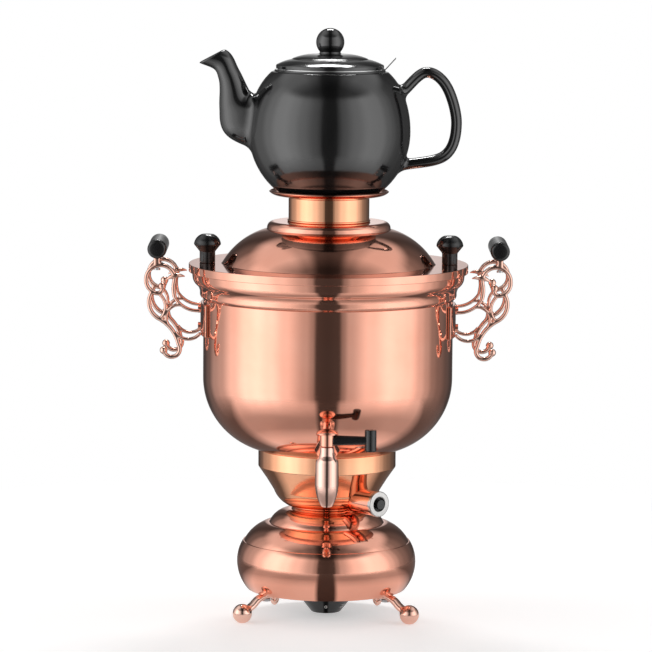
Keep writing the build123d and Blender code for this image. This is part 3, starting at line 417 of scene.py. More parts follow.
# a paler copy of the copper for the tap: the paler colour is a painted highlight that makes the tap look
# brighter
tap_copper_painted_highlight = polished_copper("tap_copper_painted_highlight", 1.0, 0.09, (0.96, 0.64, 0.54), (0.92, 0.57, 0.47))
porcelain = glossy("black_glaze", (0.004, 0.004, 0.0042), 0.12, 1.85)
phenolic = glossy("black_phenolic", (0.006, 0.006, 0.0065), 0.2, 1.6)
moulding = glossy("black_moulding", (0.02, 0.02, 0.021), 0.45, 1.5, 0.00004)
nickel = metal("bright_nickel", (0.58, 0.57, 0.56), 0.12)
steel = metal("zinc_steel", (0.62, 0.62, 0.63), 0.3)
stainless = metal("satin_stainless", (0.66, 0.66, 0.66), 0.26)
aluminium = metal("cast_aluminium", (0.7, 0.7, 0.7), 0.5, (1, 1, 1))
silicone = glossy("red_silicone", (0.45, 0.11, 0.07), 0.55, 1.4, 0.00003)
marking = glossy("white_marking", (0.8, 0.8, 0.78), 0.5, 1.45)

# ------------------------------------------------------------------- shared measures
SHEET = 1.2
WAIST_BORE = 13.0
BASE_Z, WAIST_Z = extent("base_shell", Z)
BOWL_Z, RIM_Z = extent("bowl", Z)
LID_Z = RIM_Z + SHEET
LID_TOP_Z, PLATE_Z = extent("chimney", Z)
POT_Z, LEDGE_Z = extent("teapot", Z)

# ----------------------------------------------------------------------------- base
BASE_OPENING, BASE_EDGE = 54.5, 66.5
RIDGE_RADIUS, RIDGE_RISE = 75.0, 23.0
CREASE_RADIUS, CREASE_RISE, CREASE_STEP = 70.0, 40.0, 1.0
CAP_RADIUS, CAP_STEP, CAP_DROP = 50.5, 2.5, 13.0
CAP_TOP_RADIUS, CAP_TOP_DROP = 29.5, 1.7
BASE_DOME_BULGE, CAP_BULGE = 2.4, 3.5
WAIST_SEAT = 28.2
WINDOW_GAP, WINDOW_DEPTH = 0.2, (60.0, 80.0)


def base_line(inset):
    """The base's half section, inset from its outside. A small stepped cap ends its dome."""
    edge = (BASE_EDGE - inset, BASE_Z + inset)
    crease_z = BASE_Z + CREASE_RISE - inset
    cap_z = WAIST_Z - CAP_DROP - inset
    # drawn from the ridge down, so the lower part swells out of the edge
    lower = Outline(RIDGE_RADIUS - inset, BASE_Z + RIDGE_RISE).onward(edge, (0, -1))
    line = Outline(BASE_OPENING, BASE_Z + inset)
    line.points += lower.points[::-1]
    line.onward((CREASE_RADIUS - inset, crease_z), (0, 1))
    line.line((CREASE_RADIUS - CREASE_STEP - inset, crease_z))
    line.arc((CAP_RADIUS - inset, cap_z), -BASE_DOME_BULGE)
    line.line((CAP_RADIUS - CAP_STEP - inset, cap_z))
    line.arc((CAP_TOP_RADIUS - inset, WAIST_Z - CAP_TOP_DROP - inset), -CAP_BULGE)
    return line.line((WAIST_SEAT - inset, WAIST_Z - inset), (WAIST_BORE, WAIST_Z - inset))


def inlet_window():
    """Corners of the opening in the base's wall round the mains inlet."""
    left, right = extent("inlet_housing", X)
    bottom, top = extent("inlet_housing", Z)
    front, back = WINDOW_DEPTH
    low = (left - WINDOW_GAP, front, bottom - WINDOW_GAP)
    return low, (right + WINDOW_GAP, back, top + WINDOW_GAP)


base = pierced(turned(shell(base_line(0), base_line(SHEET))), *inlet_window())
finish_mesh("base_body", base, "samovar", copper, ["base_shell"], bevel=0.5)

# ------------------------------------------------------------------------ neck, bowl
WAIST_RADIUS = 27.0
BULB_RADIUS, BULB_RISE, BULB_BULGE = 44.5, 15.0, 3.0
COLLAR_RADIUS = extent("neck", X)[1]
COLLAR_DROP, COLLAR_BULGE, COLLAR_LAP = 12.5, 0.3, 1.9
BOWL_RADIUS = 104.2
RIM_OVERHANG = extent("bowl", X)[1] - BOWL_RADIUS
HEATER_OPENING, FLAT_RADIUS, BEND_RISE = 36.6, 42.2, 62.0
SHOULDER_Z = 268.0
# how far out and up from the shoulder each moulding ends, and its bulge
MOULDINGS = ((2.88, 4.45, -1.0), (6.39, 11.95, 1.0), (9.06, 17.24, -0.5))


def neck_line(inset):
    """The neck's half section: waist, bulb and collar."""
    line = Outline(WAIST_BORE, WAIST_Z + inset).line((WAIST_RADIUS - inset, WAIST_Z + inset))
    line.arc((BULB_RADIUS - inset, WAIST_Z + BULB_RISE), -BULB_BULGE)
    line.arc((COLLAR_RADIUS - inset, BOWL_Z - COLLAR_DROP), COLLAR_BULGE)
    return line.line((COLLAR_RADIUS - inset, BOWL_Z + COLLAR_LAP))


def bowl_line(inset):
    """The bowl's half section: flat bottom, bend, wall, mouldings and rim."""
    wall = BOWL_RADIUS - inset
    line = Outline(HEATER_OPENING, BOWL_Z + inset).line((FLAT_RADIUS, BOWL_Z + inset))
    line.onward((wall, BOWL_Z + BEND_RISE), (1, 0)).line((wall, SHOULDER_Z))
    for out, up, bulge in MOULDINGS:
        line.arc((wall + out, SHOULDER_Z + up), bulge)
    return line.line((wall + RIM_OVERHANG, RIM_Z))


neck = turned(shell(neck_line(0), neck_line(SHEET)))
# the neck's warmer copper is a painted reflection of copper in copper
finish_mesh("neck_body", neck, "samovar", painted_reflection_copper, ["neck"], bevel=0.5)
bowl = turned(shell(bowl_line(0), bowl_line(SHEET)))
finish_mesh("bowl_body", bowl, "samovar", copper, ["bowl"], bevel=0.4)

# ------------------------------------------------------------------------------- lid
LID_RADIUS = extent("lid", X)[1]
LID_EDGE, SKIRT_RADIUS, SKIRT_DEPTH = 6.6, 111.7, 6.0
LID_DOME_RADIUS, LID_DOME_RISE, LID_DOME_BULGE = 89.0, 29.0, 4.8
LID_STEP_RADIUS, LID_STEP_ROUND, LID_STEP_BULGE = 51.5, 5.5, 1.65
CHIMNEY_HOLE, CHIMNEY_RADIUS, BEAD = 30.05, 33.65, 1.8
SAUCER_RADIUS = extent("pot_plate", X)[1]
STEAM_HOLE, SAUCER_FLAT, SAUCER_RISE, SAUCER_LIP_RISE = 16.0, 42.5, 3.4, 4.4
KNOB_X, KNOB_NECK, KNOB_NECK_RISE = 101.0, 6.5, 9.5
KNOB_HEAD, KNOB_HEAD_RISE, KNOB_BULGE = 11.3, 15.5, 1.6
KNOB_TOP, KNOB_RISE = 4.6, 24.0


def dome_line(inset, foot_z):
    """The lid's raised middle, from its foot to the hole under the chimney."""
    line = Outline(LID_DOME_RADIUS - inset, foot_z)
    line.arc((LID_STEP_RADIUS - inset, LID_Z + LID_DOME_RISE - inset), -LID_DOME_BULGE)
    line.line((LID_STEP_RADIUS - inset, LID_TOP_Z - LID_STEP_ROUND))
    line.arc((LID_STEP_RADIUS - LID_STEP_ROUND, LID_TOP_Z - inset), -LID_STEP_BULGE)
    return line.line((CHIMNEY_HOLE, LID_TOP_Z - inset))


lid = shell(dome_line(0, LID_Z), dome_line(SHEET, RIM_Z))
lid.line((SKIRT_RADIUS - SHEET, RIM_Z), (SKIRT_RADIUS - SHEET, RIM_Z - SKIRT_DEPTH))
lid.line((SKIRT_RADIUS, RIM_Z - SKIRT_DEPTH), (SKIRT_RADIUS, RIM_Z), (LID_RADIUS - SHEET, RIM_Z))
lid.line((LID_RADIUS - SHEET, LID_Z - LID_EDGE), (LID_RADIUS, LID_Z - LID_EDGE), (LID_RADIUS, LID_Z))
finish_mesh("lid_body", turned(lid), "top_lid", copper, ["lid"], bevel=0.5)

tube = Outline(CHIMNEY_RADIUS - SHEET, LID_TOP_Z).line((CHIMNEY_RADIUS, LID_TOP_Z))
tube.arc((CHIMNEY_RADIUS, LID_TOP_Z + BEAD), -BEAD / 2).line((CHIMNEY_RADIUS, PLATE_Z - BEAD))
tube.arc((CHIMNEY_RADIUS, PLATE_Z), -BEAD / 2).line((CHIMNEY_RADIUS - SHEET, PLATE_Z))
# the chimney's warmer copper is a painted reflection of copper in copper
finish_mesh("chimney_tube", turned(tube), "top_lid", painted_reflection_copper, ["chimney"], bevel=0.3)

saucer_lip = (SAUCER_RADIUS - SHEET, PLATE_Z + SAUCER_LIP_RISE)
saucer = Outline(STEAM_HOLE, PLATE_Z).line((SAUCER_FLAT, PLATE_Z))
saucer.onward((SAUCER_RADIUS, PLATE_Z + SAUCER_RISE)).line(saucer_lip)
saucer_top = Outline(SAUCER_FLAT, POT_Z).onward(saucer_lip, (1, 0))
saucer.points += saucer_top.points[::-1][1:] + [Vector((STEAM_HOLE, POT_Z))]
finish_mesh("pot_saucer", turned(saucer), "top_lid", copper, ["pot_plate"], bevel=0.3)

knob = Outline(0, LID_Z).line((KNOB_NECK, LID_Z), (KNOB_NECK, LID_Z + KNOB_NECK_RISE))
knob.line((KNOB_HEAD, LID_Z + KNOB_HEAD_RISE)).arc((KNOB_TOP, LID_Z + KNOB_RISE), -KNOB_BULGE)
knob.line((0, LID_Z + KNOB_RISE))
for side, x in (("right", KNOB_X), ("left", -KNOB_X)):
    bm = turned(knob, (x, 0), around=64)
    finish_mesh(f"lid_knob_{side}", bm, "top_lid", phenolic, ["lid_knobs"], bevel=0.9)

# ------------------------------------------------------------------- thermostat dial
DIAL_TIP_RADIUS, DIAL_TIP_Z = 12.2, 2.9
DIAL_RADIUS, DIAL_BROW_Z = 22.6, 16.3
DIAL_TOP_Z = extent("dial", Z)[1]
# out and up for each millimetre along the dial's cone, and the figures' lift off it
SLOPE_OUT, SLOPE_UP = 0.613, 0.79
LIFT_OUT, LIFT_DOWN = 0.04, 0.03
FIGURES = ("0", "20", "40", "60", "80", "100")
FIGURE_SIZE = 5.2
FIGURE_START, FIGURE_TURN, FIGURE_RISE = -90, 54, 8.0


def figure(text, heading):
    """bmesh of a text laid on the dial's cone, with its middle at heading."""
    curve = bpy.data.curves.new("figure", "FONT")
    curve.body = text
    curve.size = FIGURE_SIZE
    curve.align_x = "CENTER"
    curve.align_y = "CENTER"
    holder = bpy.data.objects.new("figure", curve)
    bpy.context.scene.collection.objects.link(holder)
    bm = release(holder)
    bmesh.ops.triangulate(bm, faces=bm.faces)
    bmesh.ops.subdivide_edges(bm, edges=bm.edges, cuts=1)
    for vert in bm.verts:
        along = FIGURE_RISE + vert.co.y
        radius = DIAL_TIP_RADIUS + along * SLOPE_OUT + LIFT_OUT
        height = DIAL_TIP_Z + along * SLOPE_UP - LIFT_DOWN
        turn = heading + vert.co.x / radius
        vert.co = Vector((radius * math.cos(turn), radius * math.sin(turn), height)) * MM
    return bm


dial = Outline(0, DIAL_TIP_Z).line((DIAL_TIP_RADIUS, DIAL_TIP_Z), (DIAL_RADIUS, DIAL_BROW_Z))
dial.line((DIAL_RADIUS, DIAL_TOP_Z), (0, DIAL_TOP_Z))
bm = turned(dial, around=96)
finish_mesh("dial_knob", bm, "thermostat_dial", phenolic, ["dial"], bevel=0.8)
figures = [figure(text, math.radians(FIGURE_START + FIGURE_TURN * i)) for i, text in enumerate(FIGURES)]
finish_mesh("dial_figures", merge(figures), "thermostat_dial", marking)

# ----------------------------------------------------------------------------- feet
BALL_RADIUS, BALL_REACH, BALL_Z = 8.2, 80.2, 7.7
STRAP_Z = BASE_Z - 2.5
STRAP_THICKNESS, STRAP_WIDTH, STRAP_TAPER = 5.0, 10.0, 2.5
LEG_START, KNEE, LEG_END, LEG_BULGE = (77, 10.8), (68.2, 16.0), (58.5, STRAP_Z), 0.9
CURL_REACH, CURL_RADIUS = 52, 3.2


def ball_foot():
    """One foot along +X: a ball cut level below, a strap up to the base and its curled end."""
    bm = bmesh.new()
    add_ball(bm, Vector((BALL_REACH, 0, BALL_Z)), BALL_RADIUS)
    whole = bm.verts[:] + bm.edges[:] + bm.faces[:]
    bmesh.ops.bisect_plane(bm, geom=whole, plane_co=(0, 0, 0), plane_no=(0, 0, -1), clear_outer=True)
    bmesh.ops.holes_fill(bm, edges=[e for e in bm.edges if e.is_boundary])
    path = flat_arc(LEG_START, KNEE, LEG_BULGE) + flat_arc(KNEE, LEG_END, -LEG_BULGE)[1:]
    path.append(Vector((CURL_REACH, 0, STRAP_Z)))
    for degrees in range(102, 265, 12):
        a = math.radians(degrees)
        height = STRAP_Z - CURL_RADIUS + CURL_RADIUS * math.sin(a)
        path.append(Vector((CURL_REACH + CURL_RADIUS * math.cos(a), 0, height)))
    strap = swept(path, lambda t: rounded(STRAP_THICKNESS, STRAP_WIDTH - STRAP_TAPER * t))
    return cast(merge([bm, strap]), voxel=0.6, smoothing=6)


foot = ball_foot()
for i, name in enumerate(("rear", "front_left", "front_right")):
    bm = foot.copy()
    turn = Matrix.Rotation(math.radians(90 + 120 * i), 3, "Z")
    bmesh.ops.rotate(bm, verts=bm.verts, cent=(0, 0, 0), matrix=turn)
    # the feet's paler copper is a painted highlight
    finish_mesh(f"foot_{name}", bm, "samovar", cast_copper_painted_highlight, ["feet"])

# -------------------------------------------------------------------------- handles
SADDLE_FACE = extent("handle_plate_right", X)[1]
SADDLE_Z = extent("handle_plate_right", Z)
SADDLE_ROOT, SADDLE_HALF_TURN, SADDLE_STEPS = 103.8, 17.5, 40
HANDLE_REACH, HANDLE_DROP = 35.3, 91.2
GRIP_X = SADDLE_FACE + HANDLE_REACH
GRIP_Z = BOWL_Z + 171.0
GRIP_RADIUS, GRIP_HALF = 8, 28
ARM_Y, ARM_THICKNESS, WIDE, NARROW = 24, 5.0, 3.6, 2.8
CURL_BALL = 3.3
POST_WIDTH, POST_TOP, POST_END = 5.8, 7.5, 14.5
LEAF_WIDTH, LEAF_SWELL, LEAF_THICKNESS, LEAF_DEEPENS = 0.6, 3.4, 2, 4.0

# The scrollwork is drawn in shares of the handle's reach, outwards, and of its drop, downwards.
# Each stroke is a chain of arcs: every second point is the middle of one.
STROKES = (
    (WIDE, ((0.58, 0.44), (0.61, 0.36), (0.58, 0.275), (0.92, 0.146), (1.255, 0.28), (1.2, 0.355),
            (1.07, 0.395), (0.9, 0.39), (0.875, 0.335))),
    (WIDE, ((1.1, 0.385), (1.18, 0.515), (0.93, 0.64), (0.64, 0.74), (0.49, 0.87), (0.62, 0.985),
            (0.84, 0.925))),
    (NARROW, ((0.93, 0.64), (0.8, 0.535), (0.92, 0.42))),
    (NARROW, ((-0.02, 0.56), (0.3, 0.54), (0.58, 0.44))),
    (NARROW, ((0.42, 0.51), (0.66, 0.53), (0.75, 0.68))),
    (NARROW, ((-0.02, 0.765), (0.2, 0.82), (0.56, 0.76))),
)
CURL_ENDS = ((0.88, 0.34), (0.84, 0.925))
LEAF = ((0.34, 0.25), (0.6, 0.245), (0.8, 0.285))


def scroll(across, below):
    """A place in the scrollwork, in the X-Z plane."""
    return Vector((SADDLE_FACE + across * HANDLE_REACH, GRIP_Z - below * HANDLE_DROP))


def arc_through(a, b, c, steps=14):
    """Points of the arc through three places of the scrollwork."""
    a, b, c = scroll(*a), scroll(*b), scroll(*c)
    d = 2 * (a.x * (b.y - c.y) + b.x * (c.y - a.y) + c.x * (a.y - b.y))
    aa, bb, cc = (p.length_squared for p in (a, b, c))
    centre_x = (aa * (b.y - c.y) + bb * (c.y - a.y) + cc * (a.y - b.y)) / d
    centre_y = (aa * (c.x - b.x) + bb * (a.x - c.x) + cc * (b.x - a.x)) / d
    centre = Vector((centre_x, centre_y))
    first, middle, last = (math.atan2(p.y - centre.y, p.x - centre.x) for p in (a, b, c))
    whole = (last - first) % (2 * math.pi)
    if (middle - first) % (2 * math.pi) > whole:
        whole -= 2 * math.pi
    radius = (a - centre).length
    line = []
    for i in range(steps + 1):
        turn = first + whole * i / steps
        line.append(Vector((centre.x + radius * math.cos(turn), 0, centre.y + radius * math.sin(turn))))
    return line


def chain(places):
    """Points of a stroke: arcs through each three places, end to end."""
    line = arc_through(*places[:3])
    for i in range(2, len(places) - 1, 2):
        line += arc_through(*places[i : i + 3])[1:]
    return line


def leaf_section(t):
    """The leaf's section, thickest at its middle."""
    swell = math.sin(math.pi * t)
    return rounded(LEAF_WIDTH + LEAF_SWELL * swell, LEAF_THICKNESS + LEAF_DEEPENS * swell)


def scroll_arm():
    """One cast arm in the X-Z plane: strokes, the balls that end two curls, a leaf and a post."""
    forms = [swept(chain(places), lambda t, w=width: rounded(w, ARM_THICKNESS)) for width, places in STROKES]
    balls = bmesh.new()
    for end in CURL_ENDS:
        spot = scroll(*end)
        add_ball(balls, Vector((spot.x, 0, spot.y)), CURL_BALL)
    forms.append(balls)
    forms.append(swept(arc_through(*LEAF), leaf_section))
    post = [Vector((GRIP_X, 0, GRIP_Z - POST_TOP)), Vector((GRIP_X, 0, GRIP_Z - POST_END))]
    forms.append(swept(post, lambda t: rounded(POST_WIDTH, ARM_THICKNESS)))
    return cast(merge(forms), voxel=0.5, smoothing=5)


def grip_bar(sign):
    """The bar between a handle's two arms."""
    grip = Outline(0, -GRIP_HALF).line((GRIP_RADIUS, -GRIP_HALF), (GRIP_RADIUS, GRIP_HALF), (0, GRIP_HALF))
    bm = turned(grip, around=64)
    bmesh.ops.rotate(bm, verts=bm.verts, cent=(0, 0, 0), matrix=Matrix.Rotation(math.radians(90), 3, "X"))
    bmesh.ops.translate(bm, verts=bm.verts, vec=(sign * GRIP_X * MM, 0, GRIP_Z * MM))
    return bm


def saddle(sign):
    """The plate under a handle's arms, bent to the bowl."""
    low, high = SADDLE_Z
    bm = bmesh.new()
    rings = []
    for i in range(SADDLE_STEPS + 1):
        a = math.radians(SADDLE_HALF_TURN * (2 * i / SADDLE_STEPS - 1))
        across, along = sign * math.cos(a) * MM, math.sin(a) * MM
        corners = ((SADDLE_ROOT, low), (SADDLE_FACE, low), (SADDLE_FACE, high), (SADDLE_ROOT, high))
        rings.append([bm.verts.new((r * across, r * along, z * MM)) for r, z in corners])
    for one, two in zip(rings, rings[1:]):
        for k in range(4):
            j = (k + 1) % 4
            bm.faces.new((one[k], one[j], two[j], two[k]))
    bm.faces.new(rings[0])
    bm.faces.new(rings[-1])
    return bm


arm = scroll_arm()
for side, sign in (("right", 1), ("left", -1)):
    for place, y in (("front", -ARM_Y), ("back", ARM_Y)):
        bm = arm.copy()
        bmesh.ops.translate(bm, verts=bm.verts, vec=(0, y * MM, 0))
        bmesh.ops.scale(bm, verts=bm.verts, vec=(sign, 1, 1))
        # the scroll arms' paler copper is a painted highlight
        finish_mesh(f"scroll_{side}_{place}", bm, "samovar", cast_copper_painted_highlight, [f"handle_arms_{side}"])
    bm = grip_bar(sign)
    finish_mesh(f"grip_{side}_bar", bm, "samovar", phenolic, [f"grip_{side}"], bevel=2.6)
    bm = saddle(sign)
    finish_mesh(f"mount_{side}", bm, "samovar", copper, [f"handle_plate_{side}"], bevel=0.7)

# ------------------------------------------------------------------------------ tap
TAP = (0, -118)
TAP_AXIS_Z = BOWL_Z + 15.5
OUTLET_Z, NECK_TOP_Z = extent("tap_body", Z)
HUB_Z, TAP_CAP_Z = NECK_TOP_Z + 0.3, NECK_TOP_Z + 9.8
LEVER_Z = HUB_Z + 4.75
BARREL_RADIUS, BARREL_LOW_Z, BARREL_HIGH_Z = 9.6, 130, 146
OUTLET_RADIUS, TAP_NECK_RADIUS, TAP_NECK_Z = 4.2, 5.9, 157
SHOULDER_BEND = (7.75, 151.5)
PIPE_RADIUS, PIPE_END = 4.8, 70
TAP_CAP_RADIUS, TAP_CAP_EDGE, TAP_CAP_RISE, TAP_CAP_BULGE = 8.6, 1, 5, 1.0
LEVER_X, LEVER_RADIUS, LEVER_TAPER = (4.2, 12.0, 22.0, 35.0), 4.3, 0.9
LEVER_KNOB_RADIUS, LEVER_KNOB_HALF = 4.8, 9


def tap_barrel():
    """Bullet-shaped barrel round the plug, with its outlet below and its neck above."""
    nose = Outline(BARREL_RADIUS, BARREL_LOW_Z).onward((OUTLET_RADIUS, OUTLET_Z), (0, -1))
    line = Outline(0, OUTLET_Z)
    line.points += nose.points[::-1]
    line.line((BARREL_RADIUS, BARREL_HIGH_Z)).onward(SHOULDER_BEND, (0, 1))
    line.onward((TAP_NECK_RADIUS, TAP_NECK_Z)).line((TAP_NECK_RADIUS, NECK_TOP_Z), (0, NECK_TOP_Z))
    return turned(line, TAP, around=96)


def tap_pipe():
    """Pipe from the bowl to the barrel."""
    line = Outline(0, -PIPE_END).line((PIPE_RADIUS, -PIPE_END), (PIPE_RADIUS, TAP[1]), (0, TAP[1]))
    bm = turned(line, around=48)
    bmesh.ops.rotate(bm, verts=bm.verts, cent=(0, 0, 0), matrix=Matrix.Rotation(math.radians(-90), 3, "X"))
    bmesh.ops.translate(bm, verts=bm.verts, vec=(0, 0, TAP_AXIS_Z * MM))
    return bm


def tap_handle():
    """Lever to the right, with its upright end."""
    path = [Vector((x, TAP[1], LEVER_Z)) for x in LEVER_X]
    lever = swept(path, lambda t: circle(LEVER_RADIUS - LEVER_TAPER * t))
    low, high = LEVER_Z - LEVER_KNOB_HALF, LEVER_Z + LEVER_KNOB_HALF
    end = Outline(0, low).line((LEVER_KNOB_RADIUS, low), (LEVER_KNOB_RADIUS, high), (0, high))
    return merge([lever, turned(end, (LEVER_X[-1], TAP[1]), around=48)])


# the tap's paler copper is a painted highlight
finish_mesh("tap_barrel", tap_barrel(), "samovar", tap_copper_painted_highlight, ["tap_body"], bevel=1.2)
finish_mesh("tap_pipe", tap_pipe(), "samovar", tap_copper_painted_highlight, (), bevel=0.3)
hub = Outline(0, HUB_Z).line((TAP_NECK_RADIUS, HUB_Z), (TAP_NECK_RADIUS, TAP_CAP_Z), (0, TAP_CAP_Z))
finish_mesh("tap_hub", turned(hub, TAP, around=64), "tap_valve", copper, ["tap_plug"], bevel=0.5)
cap = Outline(0, TAP_CAP_Z).line((TAP_CAP_RADIUS, TAP_CAP_Z))
cap.line((TAP_CAP_RADIUS, TAP_CAP_Z + TAP_CAP_EDGE)).arc((0, TAP_CAP_Z + TAP_CAP_RISE), -TAP_CAP_BULGE)
finish_mesh("tap_top", turned(cap, TAP, around=64), "tap_valve", copper, ["tap_cap"], bevel=0.4)
finish_mesh("tap_handle", tap_handle(), "tap_valve", phenolic, ["tap_lever"], bevel=1.2)

# --------------------------------------------------------------------------- teapot
POT_TOP_Z = LEDGE_Z - 2.0
POT_WALL = 4
POT_RECESS, RECESS_RADIUS, RECESS_EDGE, POT_FOOT, FOOT_WALL = 2, 36.5, 37.5, 40.5, 2
BELLY_RADIUS, BELLY_RISE, BELLY_BULGE = 67.2, 52.5, 7.2
POT_SHOULDER_RADIUS, POT_SHOULDER_RISE = 62, 81.5
MOUTH_EDGE, LIP_RADIUS, LIP_FOOT, MOUTH_RADIUS = 48.5, 46, 0.6, 41


def pot_wall(foot, inset, foot_rise):
    """The pot's wall from foot to mouth, inset from its outside."""
    line = Outline(foot, POT_Z + foot_rise)
    line.arc((BELLY_RADIUS - inset, POT_Z + BELLY_RISE), -BELLY_BULGE)
    line.onward((POT_SHOULDER_RADIUS - inset, POT_Z + POT_SHOULDER_RISE), (0, 1))
    return line.onward((MOUTH_EDGE - inset, POT_TOP_Z))


outer_wall = pot_wall(POT_FOOT, 0, 0).points
inner_wall = pot_wall(POT_FOOT - FOOT_WALL, POT_WALL, POT_WALL).points
pot = Outline(0, POT_Z + POT_RECESS).line((RECESS_RADIUS, POT_Z + POT_RECESS), (RECESS_EDGE, POT_Z))
pot.points += outer_wall
pot.line((LIP_RADIUS, POT_TOP_Z + LIP_FOOT), (LIP_RADIUS, LEDGE_Z), (MOUTH_RADIUS, LEDGE_Z))
pot.line((MOUTH_RADIUS, POT_TOP_Z))
pot.points += inner_wall[::-1] + [Vector((0, POT_Z + POT_WALL))]
finish_mesh("pot_body", turned(pot), "pot", porcelain, ["teapot"], bevel=0.6)


def pot_radius(z):
    """Outer radius of the pot's body at a height."""
    for low, high in zip(outer_wall, outer_wall[1:]):
        if low.y <= z <= high.y:
            return low.x + (high.x - low.x) * (z - low.y) / (high.y - low.y)
    return outer_wall[-1].x


def on_pot(p):
    """p moved level onto the pot's surface."""
    flat = Vector((p.x, p.y, 0)).normalized() * pot_radius(p.z)
    return Vector((flat.x, flat.y, p.z))


def outside_pot(p):
    """How far p stands out of the pot; above the pot it always does."""
    return math.hypot(p.x, p.y) - pot_radius(p.z) if p.z < POT_TOP_Z else 1.0


def far_end(column):
    """Index of a column's last point."""
    return len(column) - 1


def rooted_tube(rings, blend, end_of=far_end, lip=0.0, rows=60, fillet_rows=9, lip_depth=12):
    """bmesh of a tube whose columns leave the pot in a fillet of length blend.

    rings are dense cross-sections from inside the pot outwards. end_of(column) says where each
    column stops. A lip is the wall's thickness there, and the end folds over it into the hollow.
    """
    count = len(rings[0])
    grid = []
    for k in range(count):
        column = [r[k] for r in rings]
        start = next(i for i, p in enumerate(column) if outside_pot(p) > 0)
        run, first = 0.0, start
        while run < blend:
            run += (column[first + 1] - column[first]).length
            first += 1
        corner = on_pot(column[start])
        away = (corner - sum(rings[start], Vector()) / count).normalized()
        foot = on_pot(corner + away * blend)
        last = end_of(column)
        line = []
        for i in range(fillet_rows):
            t = i / fillet_rows
            line.append(foot * (1 - t) ** 2 + corner * 2 * t * (1 - t) + column[first] * t**2)
        for i in range(rows + 1):
            s = first + (last - first) * i / rows
            a = min(int(s), len(column) - 2)
            line.append(column[a].lerp(column[a + 1], s - a))
        grid.append(line)
    if lip:
        centre = sum((line[-1] for line in grid), Vector()) / count
        for line in grid:
            end = line[-1]
            inward = (centre - end).normalized()
            back = (line[-6] - end).normalized()
            line.append(end + inward * lip * 0.5 - back * lip * 0.25)
            line.append(end + inward * lip)
            line.append(end + inward * lip + back * lip_depth)
    bm = bmesh.new()
    verts = [[bm.verts.new(p * MM) for p in line] for line in grid]
    for one, two in zip(verts, verts[1:] + verts[:1]):
        for i in range(len(one) - 1):
            bm.faces.new((one[i], one[i + 1], two[i + 1], two[i]))
    return bm


# the spout's centre line and sections: out, up, tilt in degrees, half height and half width
SPOUT = (
    (50.0, 60.0, 12.0, 26.0, 19.0),
    (71.0, 66.0, 40.0, 23.0, 16.5),
    (77.5, 76.0, 68.0, 15.2, 13.2),
    (80.0, 87.5, 82.0, 11.6, 11.3),
    (84.0, 99.0, 62.0, 9.4, 9.6),
    (90.5, 110.5, 34.0, 9.5, 8.8),
    (107.0, 115.5, 12.0, 7.5, 8.0),
)
# two places on the plane of its mouth, inner and outer
CUT = Vector((-86.5, 0, POT_Z + 119.5)), Vector((-109.3, 0, POT_Z + 107.5))
CUT_NORMAL = (CUT[1] - CUT[0]).cross(Vector((0, 1, 0))).normalized()
SPOUT_FILLET, SPOUT_LIP = 7, 3
HANDLE = ((59, 84), (79, 101.5), (96.5, 90.5), (105.3, 59), (95.5, 32.5), (58, 24))
HANDLE_HALF_THICKNESS, HANDLE_HALF_WIDTH, HANDLE_FILLET = 4.5, 6, 5


def ellipse(centre, lift, tall, wide, count):
    """Ring of points about centre: tall along lift, wide along Y."""
    ring = []
    for i in range(count):
        a = 2 * math.pi * i / count
        ring.append(centre + lift * tall * math.cos(a) + Vector((0, wide * math.sin(a), 0)))
    return ring


def spout_rings():
    """The spout's sections, from inside the pot to past its mouth."""
    centres = spline([(-out, 0, POT_Z + up) for out, up, *_ in SPOUT])
    sections = spline([section for _, _, *section in SPOUT])
    rings = []
    for centre, (tilt, tall, wide) in zip(centres, sections):
        a = math.radians(tilt)
        rings.append(ellipse(centre, Vector((math.sin(a), 0, math.cos(a))), tall, wide, 64))
    return rings


def handle_rings():
    """The handle's sections, from its upper end to its lower one."""
    line = spline([(x, 0, POT_Z + z) for x, z in HANDLE])
    rings = []
    for i, here in enumerate(line):
        ahead = (line[min(i + 1, len(line) - 1)] - line[max(i - 1, 0)]).normalized()
        side = Vector((ahead.z, 0, -ahead.x))
        rings.append(ellipse(here, side, HANDLE_HALF_THICKNESS, HANDLE_HALF_WIDTH, 48))
    return rings


def to_cut(column):
    """Where a column of the spout meets the plane of its mouth."""
    heights = [(p - CUT[0]).dot(CUT_NORMAL) for p in column]
    sign = math.copysign(1, heights[0])
    for i, (a, b) in enumerate(zip(heights, heights[1:])):
        if a * sign > 0 >= b * sign:
            return i + a / (a - b)
    return far_end(column)


bm = rooted_tube(spout_rings(), SPOUT_FILLET, to_cut, SPOUT_LIP)
finish_mesh("pot_spout", bm, "pot", porcelain, ["teapot_spout"])
rings = handle_rings()
half = len(rings) // 2
halves = [rooted_tube(part, HANDLE_FILLET) for part in (rings[: half + 1], rings[half:][::-1])]
bm = merge(halves)
bmesh.ops.remove_doubles(bm, verts=bm.verts, dist=0.01 * MM)
finish_mesh("pot_handle", bm, "pot", porcelain, ["teapot_handle"])

# ---------------------------------------------------------------------- teapot's lid
COVER_RADIUS = extent("teapot_lid", X)[1]
COVER_SKIRT_RADIUS, COVER_SKIRT_WALL, COVER_SKIRT_DEPTH = 33.6, 3.0, 5
COVER_Z = extent("teapot_lid", Z)[0] + COVER_SKIRT_DEPTH
COVER_EDGE, COVER_ROUND = 3.2, 0.6
RING_RADIUS, RING_RISE, RING_BULGE, RING_STEP, RING_STEP_RISE = 31.5, 4.5, 0.5, 0.6, 0.7
CROWN_RADIUS, CROWN_RISE, CROWN_BULGE = 9.5, 12, 1.2
STEM_RADIUS, STEM_RISE = 8.8, 12.6
POT_KNOB_RADIUS, POT_KNOB_RISE, POT_KNOB_ROOT, POT_KNOB_STEPS = 11.7, 21.8, 8.6, 40


